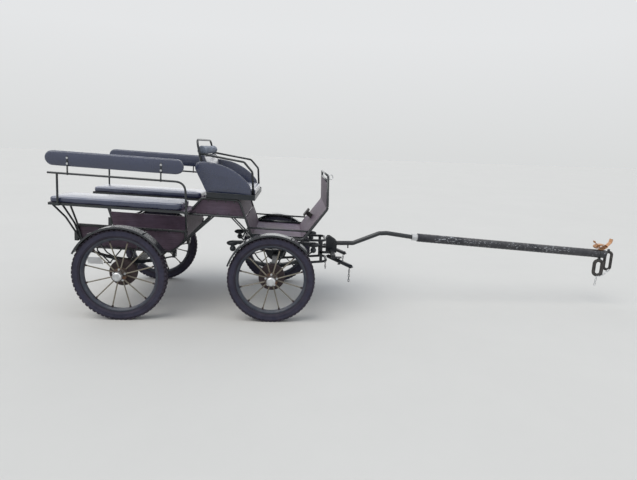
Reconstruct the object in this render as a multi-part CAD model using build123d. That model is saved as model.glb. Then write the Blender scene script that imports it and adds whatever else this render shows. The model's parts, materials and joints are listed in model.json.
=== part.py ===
from build123d import *
import os
from math import cos, hypot, pi, radians, sin

# Four-wheeled horse-drawn wagonette with its draught pole. Millimetres, +X forward, +Y left, +Z up.
# The body is drawn level, with X and Z from the middle of the rear axle, and then leans nose down
# about that axle. The forecarriage, the wheels and the pole are drawn as they stand, with Z from the
# floor. Pieces that come in pairs are drawn on the right and mirrored to the left.

# Wheels and stance
REAR_TYRE_R = 430.0
FRONT_TYRE_R = 410.0
WHEELBASE = 1395.0
TRACK_HALF = 700.0
BODY_PITCH = 2.5
RUN_GAP = 0.3
PIN_GAP = 0.06
TYRE_W = 86.0
TYRE_H = 78.0
TYRE_SIDES = 36
TYRE_SHOULDER = 16.0
TYRE_SEAT = 12.0
RIM_W = 56.0
RIM_DEPTH = 26.0
RIM_BEVEL = 14.0
SPOKES = 12
SPOKE_R = 6.0
SPOKE_LEAN = 22.0
HUB_R = 42.0
HUB_OUT = 60.0
HUB_IN = 72.0
FLANGE_R = 62.0
FLANGE_T = 8.0
CAP_R = 41.0
CAP_L = 42.0
CAP_EDGE = 9.0
CAP_DISH_R = 25.0
CAP_DISH = 5.0
DRUM_R = 125.0
DRUM_W = 55.0
DRUM_WALL = 10.0
PLATE_T = 8.0
PLATE_GAP = 5.0
STUB_R = 20.0
STUB_CLEAR = 20.0
AXLE_SIDE = 50.0

# Fenders and their stays
FENDER_GAP = 32.0
FENDER_T = 4.0
FENDER_W = 116.0
FENDER_LIP = 13.0
REAR_FENDER = (30.0, 165.0)
FRONT_FENDER = (40.0, 172.0)
REAR_STAYS = (62.0, 128.0)
FRONT_STAYS = (65.0, 125.0)
STAY_R = 7.0
STAY_FOOT = 60.0
STAY_ELBOW = 150.0
STAY_KNEE = 235.0
STAY_Y = 627.0
STAY_BEND = 24.0

# Passenger tub
PLY = 12.0
TUB_HALF = 420.0
TUB_FLOOR = 182.0
TUB_H = 220.0
TUB_REAR_X = -490.0
TUB_REAR_RAKE = 50.0
TUB_FRONT_X = 545.0
TUB_FRONT_TOE = 168.0
TUB_BEND = (72.0, 67.0)
TUB_SHOULDER = (7.0, 172.0)
BEARER_W = 40.0
BEARER_H = 30.0
CROSS_W = 30.0
HANGER_Y = -150.0
HANGER_R = 7.0
HANGER_APEX = (-293.0, -43.0)
HANGER_KINK_Z = 81.0
HANGER_FRONT_X = -140.0

# Benches, posts and backrests
BENCH_Z = 610.0
BENCH_REAR_OUT = 144.0
BENCH_FRONT_OUT = 49.0
BENCH_IN_Y = 300.0
BENCH_OUT_Y = 690.0
BOARD_T = 18.0
BOARD_CORNER = 20.0
CUSHION_H = 104.0
CUSHION_INSET = 8.0
CUSHION_NOSE = 16.0
FRAME_R = 11.0
BACK_LENGTH = 1200.0
BACK_REAR_OUT = 14.0
BACK_LOW = 349.0
BACK_H = 135.0
BACK_T = 46.0
RAIL_R = 12.5
RAIL_RISE = 286.0
RAIL_BEND = 70.0
RAIL_FRONT_SET = 22.0
RAIL_POST_SET = 89.0
BRACKET_X = (-450.0, 335.0)
BRACKET_W = 32.0
BRACKET_T = 6.0
REAR_LAMP = (30.0, 34.0, 94.0)
FAN_R = 9.0
FAN_BEND = 60.0
FRONT_POST_OUT = 40.0

# Driver's box
BOX_OUT = 30.0
BOX_Z = 573.0
BOX_H = 162.0
BOX_REAR_RAKE = 142.0
BOX_FRONT_RAKE = 68.0
BOX_BRACE_X = 770.0
BRACE_R = 9.0
LEG_R = 7.0
LEG_SET = 110.0

# Driver's seat
TRAY_SET = 30.0
TRAY_L = 466.0
TRAY_OUT = 32.0
TRAY_H = 22.0
TRAY_T = 4.0
WING_T = 46.0
WING_SET = 30.0
WING_CREST = (-42.0, 337.0)
WING_NOSE = (386.0, 126.0)
SEAT_CUSHION_H = 100.0
SEAT_BACK_T = 64.0
SEAT_BACK_LEAN = 114.0
SEAT_BACK_H = 320.0
HOOP_SET = 16.0
HOOP_H = 542.0
HOOP_LEAN = 125.0
HOOP_BEND = 70.0
ARM_DROP = (150.0, 209.0, 267.0)
ARM_X = (306.0, 402.0, 440.0)
ARM_BEND = 34.0
ROLL_R = 42.0
ROLL_HALF = 370.0

# Driver's footwell and dash
WELL_OUT = 20.0
WELL_REAR = 230.0
WELL_FRONT = 270.0
WELL_Z = 385.0
WELL_SIDE_H = 98.0
DASH_RUN = 224.0
DASH_RISE = 332.0
DASH_H = 250.0
DASH_LEAN = 20.0
RAIL_ABOVE = 68.0
DASH_R = 12.5
DASH_BEND = 60.0
CROSS_RAIL_R = 11.0
SIDE_RAIL_R = 9.0
PEDAL = (56.0, 118.0, 14.0)
PEDAL_UP = 120.0
PEDAL_Y = 60.0
REIN_LOOP_R = 34.0
REIN_WIRE = 6.0

# Leaf springs
LEAVES = 5
LEAF_T = 7.0
LEAF_W = 50.0
LEAF_STEP = 0.17
SPRING_HALF = 395.0
EYE_R = 17.0
EYE_PIN_R = 8.0
EYE_SET = 10.2
SPRING_Y = 330.0
REAR_HANG = 25.0
FRONT_HANG = 48.0
EAR_HALF = 16.0
EAR_T = 6.0
CLAMP_T = 8.0
CLAMP_R = 5.0

# Turntable and forecarriage
TURN_Z = 712.0
RING_OUT = 310.0
RING_IN = 262.0
RING_T = 10.0
KINGPIN_R = 15.0
KINGPIN_L = 70.0
WEDGE_W = 50.0
SIDE_BAR_H = 34.0
SIDE_BAR_W = 40.0
GEAR_REACH = 540.0
LOOP_HALF = 140.0
LOOP_R = 13.0
LOOP_BEND = 60.0
LOW_LOOP_Z = 462.0
LOW_LOOP_OUT = 15.0
CARRIER_T = 12.0

# Splinter bar and swingletrees
SPLINTER_SET = 71.0
SPLINTER_Z = 560.0
SPLINTER_SIDE = 40.0
SWINGLE_SET = 64.0
SWINGLE_DROP = 55.0
SWINGLE_Y = 300.0
SWINGLE_HALF = 262.0
SWINGLE_R = 20.0
SWINGLE_REST = 24.0
SWINGLE_BOLT_R = 8.0
TRACE_BORE_R = 7.0
TRACE_PLATE_T = 8.0
TRACE_EYE_R = 16.0
TRACE_NECK = 38.0

# Chains
LINK_W = 18.0
LINK_WIRE = 4.5
LINK_PITCH = 24.0
LINK_BITE = 0.6

# Pole, as forward and up from its pin
PIN_SET = 36.0
PIN_RISE = 74.0
POLE_PIN_R = 12.0
POLE_ROOT_R = 24.0
ROOT_TAIL = 30.0
ROOT_BEND = 70.0
ROOT_END = (204.0, 4.0)
RISE_TOP = (482.0, 118.0)
CREST = (570.0, 123.0)
COLLAR_AT = (843.0, 87.0)
SLEEVE_AT = (904.0, 82.0)
TIP_AT = (3038.0, -55.0)
POLE_COLLAR_R = 36.0
POLE_SLEEVE_R = 43.0
CHEEK_T = 10.0
CHEEK_Y = 34.0
HEAD_CAP_L = 14.0
HEAD_R = 46.0
HEAD_BAND_W = 30.0
HEAD_BAND_SET = 50.0
HEAD_BAND_T = 2.0
DRAW_LOOP = (55.0, 100.0)
DRAW_WIRE = 10.0
STRAP_W = 42.0
STRAP_T = 5.0
STRAP_BEND = 22.0

# Places worked out from the sizes above
TUB_TOP = TUB_FLOOR + TUB_H
TUB_FOOT_X = TUB_REAR_X + TUB_REAR_RAKE
PANEL_Y = TUB_HALF + FRAME_R
BENCH_REAR_X = TUB_REAR_X - BENCH_REAR_OUT
BENCH_FRONT_X = TUB_FRONT_X + BENCH_FRONT_OUT
BOARD_TOP = BENCH_Z + BOARD_T
RAIL_Y = BENCH_OUT_Y + RAIL_R + 1.5
RAIL_Z = BENCH_Z + RAIL_RISE
BOX_HALF = TUB_HALF + BOX_OUT
BOX_TOP = BOX_Z + BOX_H
BOX_Y = BOX_HALF + FRAME_R
WELL_HALF = BOX_HALF + WELL_OUT
WELL_REAR_X = WHEELBASE - WELL_REAR
WELL_FRONT_X = WHEELBASE + WELL_FRONT
WELL_TOP = WELL_Z + PLY
WELL_SIDE_Z = WELL_Z + WELL_SIDE_H
DASH_Y = WELL_HALF + DASH_R
KNEE_X = WELL_FRONT_X + DASH_RUN
KNEE_Z = WELL_Z + DASH_RISE
DASH_TOP_X = KNEE_X - DASH_LEAN
DASH_TOP_Z = KNEE_Z + DASH_H
BOX_REAR_X = TUB_FRONT_X + 3
BOX_FRONT_X = WELL_REAR_X - 67
BOX_REAR_TOP_X = BOX_REAR_X + BOX_REAR_RAKE
BOX_FRONT_TOP_X = BOX_FRONT_X - BOX_FRONT_RAKE
TRAY_X = BOX_REAR_TOP_X + TRAY_SET
TRAY_HALF = BOX_HALF + TRAY_OUT
TRAY_Z = BOX_TOP + FRAME_R
SEAT_Z = TRAY_Z + TRAY_T
WING_Y = TRAY_HALF - WING_SET
HOOP_Y = TRAY_HALF - HOOP_SET
EYE_X = SPRING_HALF + EYE_SET
PACK_T = (LEAVES - 1) * LEAF_T
REAR_RISE = TUB_FLOOR - BEARER_H - REAR_HANG - AXLE_SIDE / 2 - PACK_T - EYE_R
BAR_TOP = TURN_Z - RING_T
BAR_LOW = BAR_TOP - SIDE_BAR_H
FRONT_RISE = BAR_LOW - FRONT_HANG - FRONT_TYRE_R - AXLE_SIDE / 2 - PACK_T - EYE_R
GEAR_X = WHEELBASE + GEAR_REACH
SPLINTER_X = GEAR_X + SPLINTER_SET
SWINGLE_X = SPLINTER_X + SWINGLE_SET
SWINGLE_Z = SPLINTER_Z - SWINGLE_DROP
POLE_PIN = (SPLINTER_X + PIN_SET, SPLINTER_Z + PIN_RISE)
FAR = 3000.0


def leaned(shape):
    """Put a piece of the level body on the rear axle and turn it nose down."""
    return Pos(0, 0, REAR_TYRE_R) * Rot(0, BODY_PITCH, 0) * shape


def both(shape):
    """The piece on the right and its mirror image on the left."""
    return Compound(children=[*shape.solids(), *mirror(shape, about=Plane.XZ).solids()])


def joined(pieces):
    """All the pieces as one."""
    whole = pieces[0]
    for piece in pieces[1:]:
        whole += piece
    return whole


def block(x0, x1, y0, y1, z0, z1):
    """A straight block between two corners."""
    return Pos((x0 + x1) / 2, (y0 + y1) / 2, (z0 + z1) / 2) * Box(abs(x1 - x0), abs(y1 - y0), abs(z1 - z0))


def side_slab(points, y0, y1):
    """An outline of (x, z) points in the side view, as a slab from y0 to y1."""
    face = make_face(Polyline(*[(x, 0, z) for x, z in points], close=True))
    return Pos(0, max(y0, y1), 0) * extrude(face, abs(y1 - y0), dir=(0, -1, 0))


def rod(a, b, radius):
    """A round bar from point a to point b."""
    a, b = Vector(*a), Vector(*b)
    bar = Cylinder(radius, (b - a).length, align=(Align.CENTER, Align.CENTER, Align.MIN))
    return Plane(origin=a, z_dir=b - a) * bar


def tube(points, radius, bend):
    """A bent round bar through the points, with the same bend at each corner."""
    path = FilletPolyline(*points, radius=bend)
    return sweep(Plane(origin=path @ 0, z_dir=path % 0) * Circle(radius), path=path)


def disc(x, z, radius, y0, y1):
    """A round plate or barrel about a crosswise axis, from y0 to y1."""
    return Pos(x, (y0 + y1) / 2, z) * Rot(90, 0, 0) * Cylinder(radius, abs(y1 - y0))


def between(a, b, height):
    """Where the line from a to b, as (x, z) points, is at a height."""
    share = (height - a[1]) / (b[1] - a[1])
    return a[0] + share * (b[0] - a[0])


def barrel(rows):
    """A many-sided drum about a crosswise axis, from rows of (y, radius to its flats)."""
    sections = []
    for y, radius in rows:
        outline = RegularPolygon(radius, TYRE_SIDES, major_radius=False, rotation=180 / TYRE_SIDES)
        sections.append(Plane(origin=(0, y, 0), x_dir=(1, 0, 0), z_dir=(0, -1, 0)) * outline)
    return loft(sections, ruled=True)


def chain(points):
    """Links along straight runs, each turned a quarter from the last and biting into it."""
    half = LINK_W / 2
    cut = LINK_W / 3
    links = []
    for a, b in zip(points, points[1:]):
        run = Vector(*b) - Vector(*a)
        count = max(2, round(run.length / LINK_PITCH))
        pitch = run.length / count
        reach = pitch / 2 + LINK_WIRE - LINK_BITE / 2
        outer = link_outline(reach, half, cut)
        inner = link_outline(reach - LINK_WIRE, half - LINK_WIRE, cut - LINK_WIRE / 2)
        link = Pos(0, 0, -LINK_WIRE / 2) * extrude(outer - inner, LINK_WIRE)
        across = run.cross(Vector(0.3, 1, 0.2))
        for number in range(count):
            middle = Vector(*a) + run * ((number + 0.5) / count)
            turn = Rot(90, 0, 0) if len(links) % 2 else Rot(0, 0, 0)
            links.append(Plane(origin=middle, x_dir=run, z_dir=across) * turn * link)
    return joined(links)


def link_outline(reach, half, cut):
    """A rectangle 2 reach long and 2 half wide with its corners cut off."""
    corners = []
    for sx, sy in ((1, 1), (-1, 1), (-1, -1), (1, -1)):
        pair = [(sx * reach, sy * (half - cut)), (sx * (reach - cut), sy * half)]
        corners += pair if sx * sy > 0 else pair[::-1]
    return make_face(Polyline(*corners, close=True))


def on_bow(bow, centre, x):
    """The point at x on the underside of a bow about a centre above it."""
    return (x, 0, centre - (bow ** 2 - x ** 2) ** 0.5)


def spring_pack(x, z, y, rise):
    """Leaves bowed down in the middle, each shorter than the one above, and the top one rolled into
    eyes. A plate and two bolts clamp them to the axle."""
    bow = (SPRING_HALF ** 2 + rise ** 2) / (2 * rise)
    leaves = []
    for number in range(LEAVES):
        half = SPRING_HALF * (1 - LEAF_STEP * number)
        upper = (LEAVES - number) * LEAF_T
        centre = upper + bow
        top, low = bow, bow + LEAF_T
        outline = [ThreePointArc(*[on_bow(top, centre, s * half) for s in (-1, 0, 1)]),
                   Line(on_bow(top, centre, half), on_bow(low, centre, half)),
                   ThreePointArc(*[on_bow(low, centre, s * half) for s in (1, 0, -1)]),
                   Line(on_bow(low, centre, -half), on_bow(top, centre, -half))]
        leaves.append(Pos(0, LEAF_W / 2, 0) * extrude(make_face(outline), LEAF_W, dir=(0, -1, 0)))
    pack = joined(leaves)
    eye = PACK_T + rise + EYE_R
    for side in (-1, 1):
        pack += disc(side * EYE_X, eye, EYE_R, -LEAF_W / 2, LEAF_W / 2)
        pack -= disc(side * EYE_X, eye, EYE_PIN_R, -LEAF_W, LEAF_W)
    reach = AXLE_SIDE / 2 + CLAMP_R + RUN_GAP
    out = LEAF_W / 2 + CLAMP_R + RUN_GAP
    top = LEAVES * LEAF_T
    pad = reach + CLAMP_R
    clamp = block(-pad, pad, -out - CLAMP_R, out + CLAMP_R, top, top + CLAMP_T)
    foot = -AXLE_SIDE - RUN_GAP
    clamp += block(-pad, pad, -out - CLAMP_R, out + CLAMP_R, foot - CLAMP_T, foot)
    for sx in (-1, 1):
        for sy in (-1, 1):
            clamp += rod((sx * reach, sy * out, foot - 2 * CLAMP_T), (sx * reach, sy * out, top + 1.5 * CLAMP_T),
                         CLAMP_R)
    return Pos(x, y, z) * (pack + clamp)


def spring_ears(x, y, eye_z, low, top):
    """Two ears, a cap and a pin that hold one spring eye below a bar."""
    inner = LEAF_W / 2 + RUN_GAP
    outer = inner + EAR_T
    pieces = [block(x - EAR_HALF, x + EAR_HALF, y - outer, y + outer, low, top)]
    for side in (-1, 1):
        pieces.append(block(x - EAR_HALF, x + EAR_HALF, y + side * inner, y + side * outer,
                            eye_z - EYE_R - 3, low))
    pieces.append(disc(x, eye_z, EYE_PIN_R - RUN_GAP, y - outer - EAR_T, y + outer + EAR_T))
    return joined(pieces)


def wheel_parts(x, radius, side):
    """Tyre, spoked wheel, brake drum and hub cap about the axle line. side is -1 right, 1 left."""
    rim_r = radius - TYRE_H
    half = TYRE_W / 2
    edge = half - TYRE_SHOULDER
    seat = RIM_W / 2
    tyre = barrel([(-half, radius - TYRE_SHOULDER), (-edge, radius), (edge, radius),
                   (half, radius - TYRE_SHOULDER)])
    tyre -= barrel([(-half - 1, rim_r + 2 * TYRE_SEAT), (-seat, rim_r), (seat, rim_r),
                    (half + 1, rim_r + 2 * TYRE_SEAT)])
    tyre -= barrel([(-seat, rim_r + TYRE_SEAT), (seat, rim_r + TYRE_SEAT)])
    lip = rim_r + TYRE_SEAT - 1
    side_y = seat - RUN_GAP
    well = rim_r - RIM_DEPTH
    rim = Polyline((lip, -side_y), (lip, side_y), (well + RIM_BEVEL, side_y), (well, seat / 2),
                   (well, -seat / 2), (well + RIM_BEVEL, -side_y), close=True)
    wheel = revolve(make_face(rim), Axis.Y)
    wheel += disc(0, 0, HUB_R, -HUB_OUT, HUB_IN)
    for lean in (-SPOKE_LEAN, SPOKE_LEAN):
        wheel += disc(0, 0, FLANGE_R, lean - FLANGE_T / 2, lean + FLANGE_T / 2)
    root, head = FLANGE_R - 10, well + 4
    for number in range(SPOKES):
        angle = 2 * pi / SPOKES * (number + 0.5)
        lean = SPOKE_LEAN if number % 2 else -SPOKE_LEAN
        wheel += rod((root * cos(angle), lean, root * sin(angle)), (head * cos(angle), 0, head * sin(angle)),
                     SPOKE_R)
    wheel -= disc(0, 0, STUB_R + PIN_GAP, -HUB_OUT + STUB_CLEAR, HUB_IN + 1)
    drum = disc(0, 0, DRUM_R, HUB_IN + RUN_GAP, HUB_IN + DRUM_W)
    drum -= disc(0, 0, DRUM_R - DRUM_WALL, HUB_IN + DRUM_WALL, HUB_IN + DRUM_W + 1)
    drum -= disc(0, 0, STUB_R + RUN_GAP, HUB_IN - 1, HUB_IN + DRUM_W)
    cap = disc(0, 0, CAP_R, -HUB_OUT - CAP_L, -HUB_OUT)
    cap = chamfer(cap.faces().sort_by(Axis.Y)[0].edges(), CAP_EDGE)
    cap -= disc(0, 0, CAP_DISH_R, -HUB_OUT - CAP_L - 1, -HUB_OUT - CAP_L + CAP_DISH)
    placed = []
    for piece in (tyre, wheel, drum, cap):
        piece = piece if side < 0 else mirror(piece, about=Plane.XZ)
        placed.append(Pos(x, side * TRACK_HALF, radius) * piece)
    return placed


def plate_face():
    """How far out the outer face of a brake plate is."""
    return TRACK_HALF - HUB_IN - DRUM_W - PLATE_GAP


def axle(x, z):
    """Square beam between the brake plates, with round stubs into the hubs."""
    face = plate_face()
    beam = block(x - AXLE_SIDE / 2, x + AXLE_SIDE / 2, PLATE_T - face, face - PLATE_T,
                 z - AXLE_SIDE / 2, z + AXLE_SIDE / 2)
    for side in (-1, 1):
        beam += disc(x, z, STUB_R, side * (face - PLATE_T - 1), side * (TRACK_HALF + HUB_OUT - STUB_CLEAR - 2))
        beam += disc(x, z, DRUM_R - DRUM_WALL - 4, side * (face - PLATE_T), side * face)
    return beam


def fender(x, z, radius, sweep_of, stays_at):
    """Curved mudguard over the right wheel with a lip turned down on each edge, and two stays that
    rise from the brake plate, close inside the tyre, and cross over the guard."""
    inner = radius + FENDER_GAP
    outer = inner + FENDER_T
    half = FENDER_W / 2
    low = inner - FENDER_LIP
    start, end = sweep_of
    section = Polyline((outer, -half), (outer, half), (low, half), (low, half - FENDER_T),
                       (inner, half - FENDER_T), (inner, FENDER_T - half), (low, FENDER_T - half),
                       (low, -half), close=True)
    guard = revolve(Rot(0, -start, 0) * make_face(section), Axis((0, 0, 0), (0, -1, 0)), end - start)
    guard = Pos(x, -TRACK_HALF, z) * guard
    over = outer + STAY_R - 2
    plate_y = -plate_face() + PLATE_T + STAY_R
    stays = []
    for angle in stays_at:
        c, s = cos(radians(angle)), sin(radians(angle))
        route = [(STAY_FOOT, plate_y), (STAY_ELBOW, plate_y), (STAY_KNEE, -STAY_Y), (over, -STAY_Y),
                 (over, -TRACK_HALF - FENDER_W / 4)]
        stays.append(tube([(x + r * c, y, z + r * s) for r, y in route], STAY_R, STAY_BEND))
    return guard + (joined(stays) - guard)


BODY = {}
STANDING = {}


def tub_outline():
    """Side view of the tub: raked rear edge, flat foot, and a front that curves up to a shoulder."""
    foot = (TUB_FRONT_X - TUB_FRONT_TOE, 0, TUB_FLOOR)
    bend = (TUB_FRONT_X - TUB_BEND[0], 0, TUB_FLOOR + TUB_BEND[1])
    shoulder = (TUB_FRONT_X - TUB_SHOULDER[0], 0, TUB_FLOOR + TUB_SHOULDER[1])
    front = (TUB_FRONT_X, 0, TUB_TOP)
    rear = (TUB_REAR_X, 0, TUB_TOP)
    heel = (TUB_FOOT_X, 0, TUB_FLOOR)
    return make_face([Line(heel, foot), ThreePointArc(foot, bend, shoulder), Line(shoulder, front),
                      Line(front, rear), Line(rear, heel)])


def make_tub():
    """The passengers' footwell: two side panels, a floor, and a front panel that curves up to the box."""
    outline = tub_outline()
    BODY["tub_sides"] = both(Pos(0, PLY - TUB_HALF, 0) * extrude(outline, PLY, dir=(0, -1, 0)))
    inside = TUB_HALF - PLY
    foot_x = TUB_FRONT_X - TUB_FRONT_TOE
    solid = Pos(0, inside, 0) * extrude(outline, 2 * inside, dir=(0, -1, 0))
    BODY["tub_floor"] = solid & block(TUB_FOOT_X - 5, foot_x, -inside, inside, TUB_FLOOR, TUB_FLOOR + PLY)
    front = solid - Pos(-PLY, 0, PLY) * solid
    front = front & block(foot_x, TUB_FRONT_X, -inside, inside, TUB_FLOOR, TUB_TOP)
    BODY["tub_front"] = front + block(TUB_FRONT_X - PLY, TUB_FRONT_X, -inside, inside, TUB_TOP, BOX_Z)


def make_floor_bearers():
    """Two long bearers and three cross bars under the tub, with the ears that hold the rear springs,
    and a hanger of flat bars in the middle behind the axle."""
    low = TUB_FLOOR - BEARER_H
    ends = (TUB_FOOT_X + 6, EYE_X + EAR_HALF + 4)
    frame = []
    for y in (-SPRING_Y, SPRING_Y):
        frame.append(block(*ends, y - BEARER_W / 2, y + BEARER_W / 2, low, TUB_FLOOR))
    crosses = (ends[0] + CROSS_W / 2, HANGER_FRONT_X, TUB_FRONT_X - TUB_FRONT_TOE - CROSS_W)
    for x in crosses:
        frame.append(block(x - CROSS_W / 2, x + CROSS_W / 2, -SPRING_Y, SPRING_Y, low, TUB_FLOOR))
    eye_z = low - REAR_HANG
    for x in (-EYE_X, EYE_X):
        for y in (-SPRING_Y, SPRING_Y):
            frame.append(spring_ears(x, y, eye_z, low - EAR_T, low))
    apex = (HANGER_APEX[0], HANGER_Y, HANGER_APEX[1])
    kink = (crosses[0], HANGER_Y, HANGER_KINK_Z)
    for a, b in (((crosses[0], HANGER_Y, low + 2), kink), (kink, apex), (apex, (crosses[1], HANGER_Y, low + 2))):
        frame.append(rod(a, b, HANGER_R))
    frame.append(rod((apex[0] - 60, HANGER_Y, apex[2]), (apex[0] + 14, HANGER_Y, apex[2]), HANGER_R))
    BODY["floor_bearers"] = joined(frame)


def make_body_posts():
    """Tubes that carry the benches: a fan of three at each rear corner, a front post, and a rail
    along the top of the tub. A small lamp block sits behind the fan."""
    below = block(-FAR, FAR, -FAR, -TUB_HALF, -FAR, BENCH_Z)
    rail_z = TUB_TOP - FRAME_R
    rear = (TUB_REAR_X, TUB_TOP)
    heel = (TUB_FOOT_X, TUB_FLOOR)
    edge = lambda z: between(rear, heel, z) - FRAME_R / 2
    # Each row: height where the tube leaves the tub's rear edge, how far up it has spread halfway,
    # and where it meets the bench, as x from the bench's rear end and y
    fan = ((TUB_FLOOR + 60, (-566, -505, 470), (16.0, 650.0)),
           (TUB_FLOOR + 24, (TUB_REAR_X - 24, -PANEL_Y - 10, TUB_TOP + 6), (78.0, 600.0)),
           (TUB_FLOOR + 150, (TUB_REAR_X - 8, -PANEL_Y, TUB_TOP + 16), (104.0, 506.0)))
    tubes = []
    for foot_z, middle, (top_x, top_y) in fan:
        foot = (edge(foot_z), -PANEL_Y, foot_z)
        tubes.append(tube([foot, middle, (BENCH_REAR_X + top_x, -top_y, BENCH_Z)], FAN_R, FAN_BEND))
    front_top = (BENCH_FRONT_X - RAIL_FRONT_SET, FRONT_POST_OUT - BENCH_OUT_Y, BENCH_Z)
    tubes.append(tube([(TUB_FRONT_X - 20, -PANEL_Y, TUB_TOP - 56), (TUB_FRONT_X - 8, -PANEL_Y, TUB_TOP + 30),
                       front_top], FRAME_R, 40))
    tubes.append(rod((TUB_REAR_X + 2, -PANEL_Y, rail_z), (TUB_FRONT_X - 10, -PANEL_Y, rail_z), FRAME_R - 1))
    lamp_x, lamp_y, lamp_z = REAR_LAMP
    lamp_top = TUB_FLOOR + 150
    back = edge(lamp_top) - FAN_R
    lamp = block(back - lamp_x, back + 8, -PANEL_Y - lamp_y / 2, -PANEL_Y + lamp_y / 2, lamp_top - lamp_z, lamp_top)
    tubes.append(fillet(lamp.edges().filter_by(Axis.Z), 8))
    BODY["bench_posts"] = both(joined([piece & below for piece in tubes]))


def box_points():
    """Side view of the driver's box."""
    return [(BOX_REAR_X, BOX_Z), (BOX_REAR_TOP_X, BOX_TOP), (BOX_FRONT_TOP_X, BOX_TOP), (BOX_FRONT_X, BOX_Z)]


def shrunk(points, wall):
    """The four-cornered outline moved inwards by one wall on every side."""
    (rear, low), (rear_top, high), (front_top, _), (front, _) = points
    tall = high - low
    rear_slope, front_slope = (rear_top - rear) / tall, (front_top - front) / tall
    rear_shift = wall * hypot(1, rear_slope)
    front_shift = wall * hypot(1, front_slope)
    return [(rear + rear_shift + rear_slope * wall, low + wall),
            (rear_top + rear_shift - rear_slope * wall, high - wall),
            (front_top - front_shift - front_slope * wall, high - wall),
            (front - front_shift + front_slope * wall, low + wall)]


def box_frame():
    """Right-hand tubes of the driver's box, with a long brace to the tub's curve and a leg to the
    footwell."""
    floor = (WELL_REAR_X + 6, -BOX_Y, WELL_TOP)
    frame = tube([(BOX_REAR_X - 4, -BOX_Y, BOX_Z - 8), (BOX_REAR_TOP_X - 6, -BOX_Y, BOX_TOP),
                  (BOX_FRONT_TOP_X + 6, -BOX_Y, BOX_TOP), floor], FRAME_R, 45)
    frame += rod((BOX_REAR_X + 14, -BOX_Y, BOX_Z), (BOX_FRONT_X + 2, -BOX_Y, BOX_Z), FRAME_R)
    brace_foot = (TUB_FRONT_X - TUB_BEND[0] - 4, -TUB_HALF - BRACE_R, TUB_FLOOR + TUB_BEND[1] - 4)
    frame += rod((BOX_BRACE_X, -BOX_Y, BOX_Z), brace_foot, BRACE_R)
    frame += rod((BOX_FRONT_X - LEG_SET, -BOX_Y, BOX_Z), (WELL_REAR_X - 4, -BOX_Y, WELL_TOP + 12), LEG_R)
    return frame - block(BOX_FRONT_X, FAR, -FAR, FAR, -FAR, WELL_TOP)


def make_benches():
    """Boards on the posts, deep cushions, and long backrests bracketed to a bent rail."""
    board = block(BENCH_REAR_X, BENCH_FRONT_X, -BENCH_OUT_Y, -BENCH_IN_Y, BENCH_Z, BOARD_TOP)
    board = fillet(board.edges().filter_by(Axis.Z), BOARD_CORNER)
    board -= side_slab(box_points(), -BOX_HALF - 2 * FRAME_R, 0)
    BODY["bench_boards"] = both(board - box_frame())
    cushion = block(BENCH_REAR_X + CUSHION_INSET, BENCH_FRONT_X - CUSHION_NOSE, CUSHION_INSET / 2 - BENCH_OUT_Y,
                    -BENCH_IN_Y - CUSHION_INSET / 2, BOARD_TOP + RUN_GAP, BOARD_TOP + CUSHION_H)
    cushion = fillet(cushion.edges().filter_by(Axis.Z), 40)
    cushion = fillet(cushion.faces().sort_by(Axis.Z)[-1].edges(), 30)
    outer = RAIL_Y + RAIL_R - BRACKET_T - RUN_GAP
    rear = BENCH_REAR_X - BACK_REAR_OUT
    low = BENCH_Z + BACK_LOW + 430
    back = block(rear, rear + BACK_LENGTH, -outer, BACK_T - outer, BENCH_Z + BACK_LOW, BENCH_Z + BACK_LOW + BACK_H)
    back = fillet(back.edges().filter_by(Axis.Y), 48)
    back = chamfer(back.edges().group_by(Axis.Y)[0] + back.edges().group_by(Axis.Y)[-1], 8)
    for name, right in (("bench_cushion_", cushion), ("backrest_", back)):
        BODY[name + "right"] = right
        BODY[name + "left"] = mirror(right, about=Plane.XZ)
    foot_z = BENCH_Z - 4
    rail = tube([(BENCH_REAR_X + CUSHION_INSET, -RAIL_Y, RAIL_Z), (BENCH_FRONT_X - RAIL_FRONT_SET, -RAIL_Y, RAIL_Z),
                 (BENCH_FRONT_X - 2, -RAIL_Y, foot_z)], RAIL_R, RAIL_BEND)
    post_x = BENCH_REAR_X + RAIL_POST_SET
    rail += rod((post_x, -RAIL_Y, RAIL_Z), (post_x, -RAIL_Y, foot_z), RAIL_R)
    face = -RAIL_Y - RAIL_R
    for x in BRACKET_X:
        rail += block(x - BRACKET_W / 2, x + BRACKET_W / 2, face, face + BRACKET_T, RAIL_Z - 14,
                      BENCH_Z + BACK_LOW + BACK_H - 30)
    for x in (post_x, BENCH_FRONT_X - 3):
        rail += block(x - 26, x + 14, face, -BENCH_OUT_Y, foot_z, BOARD_TOP)
    rail -= block(-FAR, FAR, -BENCH_OUT_Y, 0, 0, BOARD_TOP + CUSHION_H + 40)
    BODY["backrest_rails"] = both(rail)


def make_seat_box():
    """The driver's box: panels inside a tube frame, with a riser down to the footwell."""
    whole = side_slab(box_points(), -BOX_HALF, BOX_HALF)
    BODY["seat_box"] = whole - side_slab(shrunk(box_points(), PLY), PLY - BOX_HALF, BOX_HALF - PLY)
    BODY["seat_box_frame"] = both(box_frame())
    top_x = BOX_FRONT_X + 2
    BODY["seat_riser"] = side_slab([(top_x, BOX_Z - 1), (top_x + PLY, BOX_Z - 1), (WELL_REAR_X + PLY, WELL_TOP),
                                    (WELL_REAR_X, WELL_TOP)], -BOX_HALF, BOX_HALF)


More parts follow.
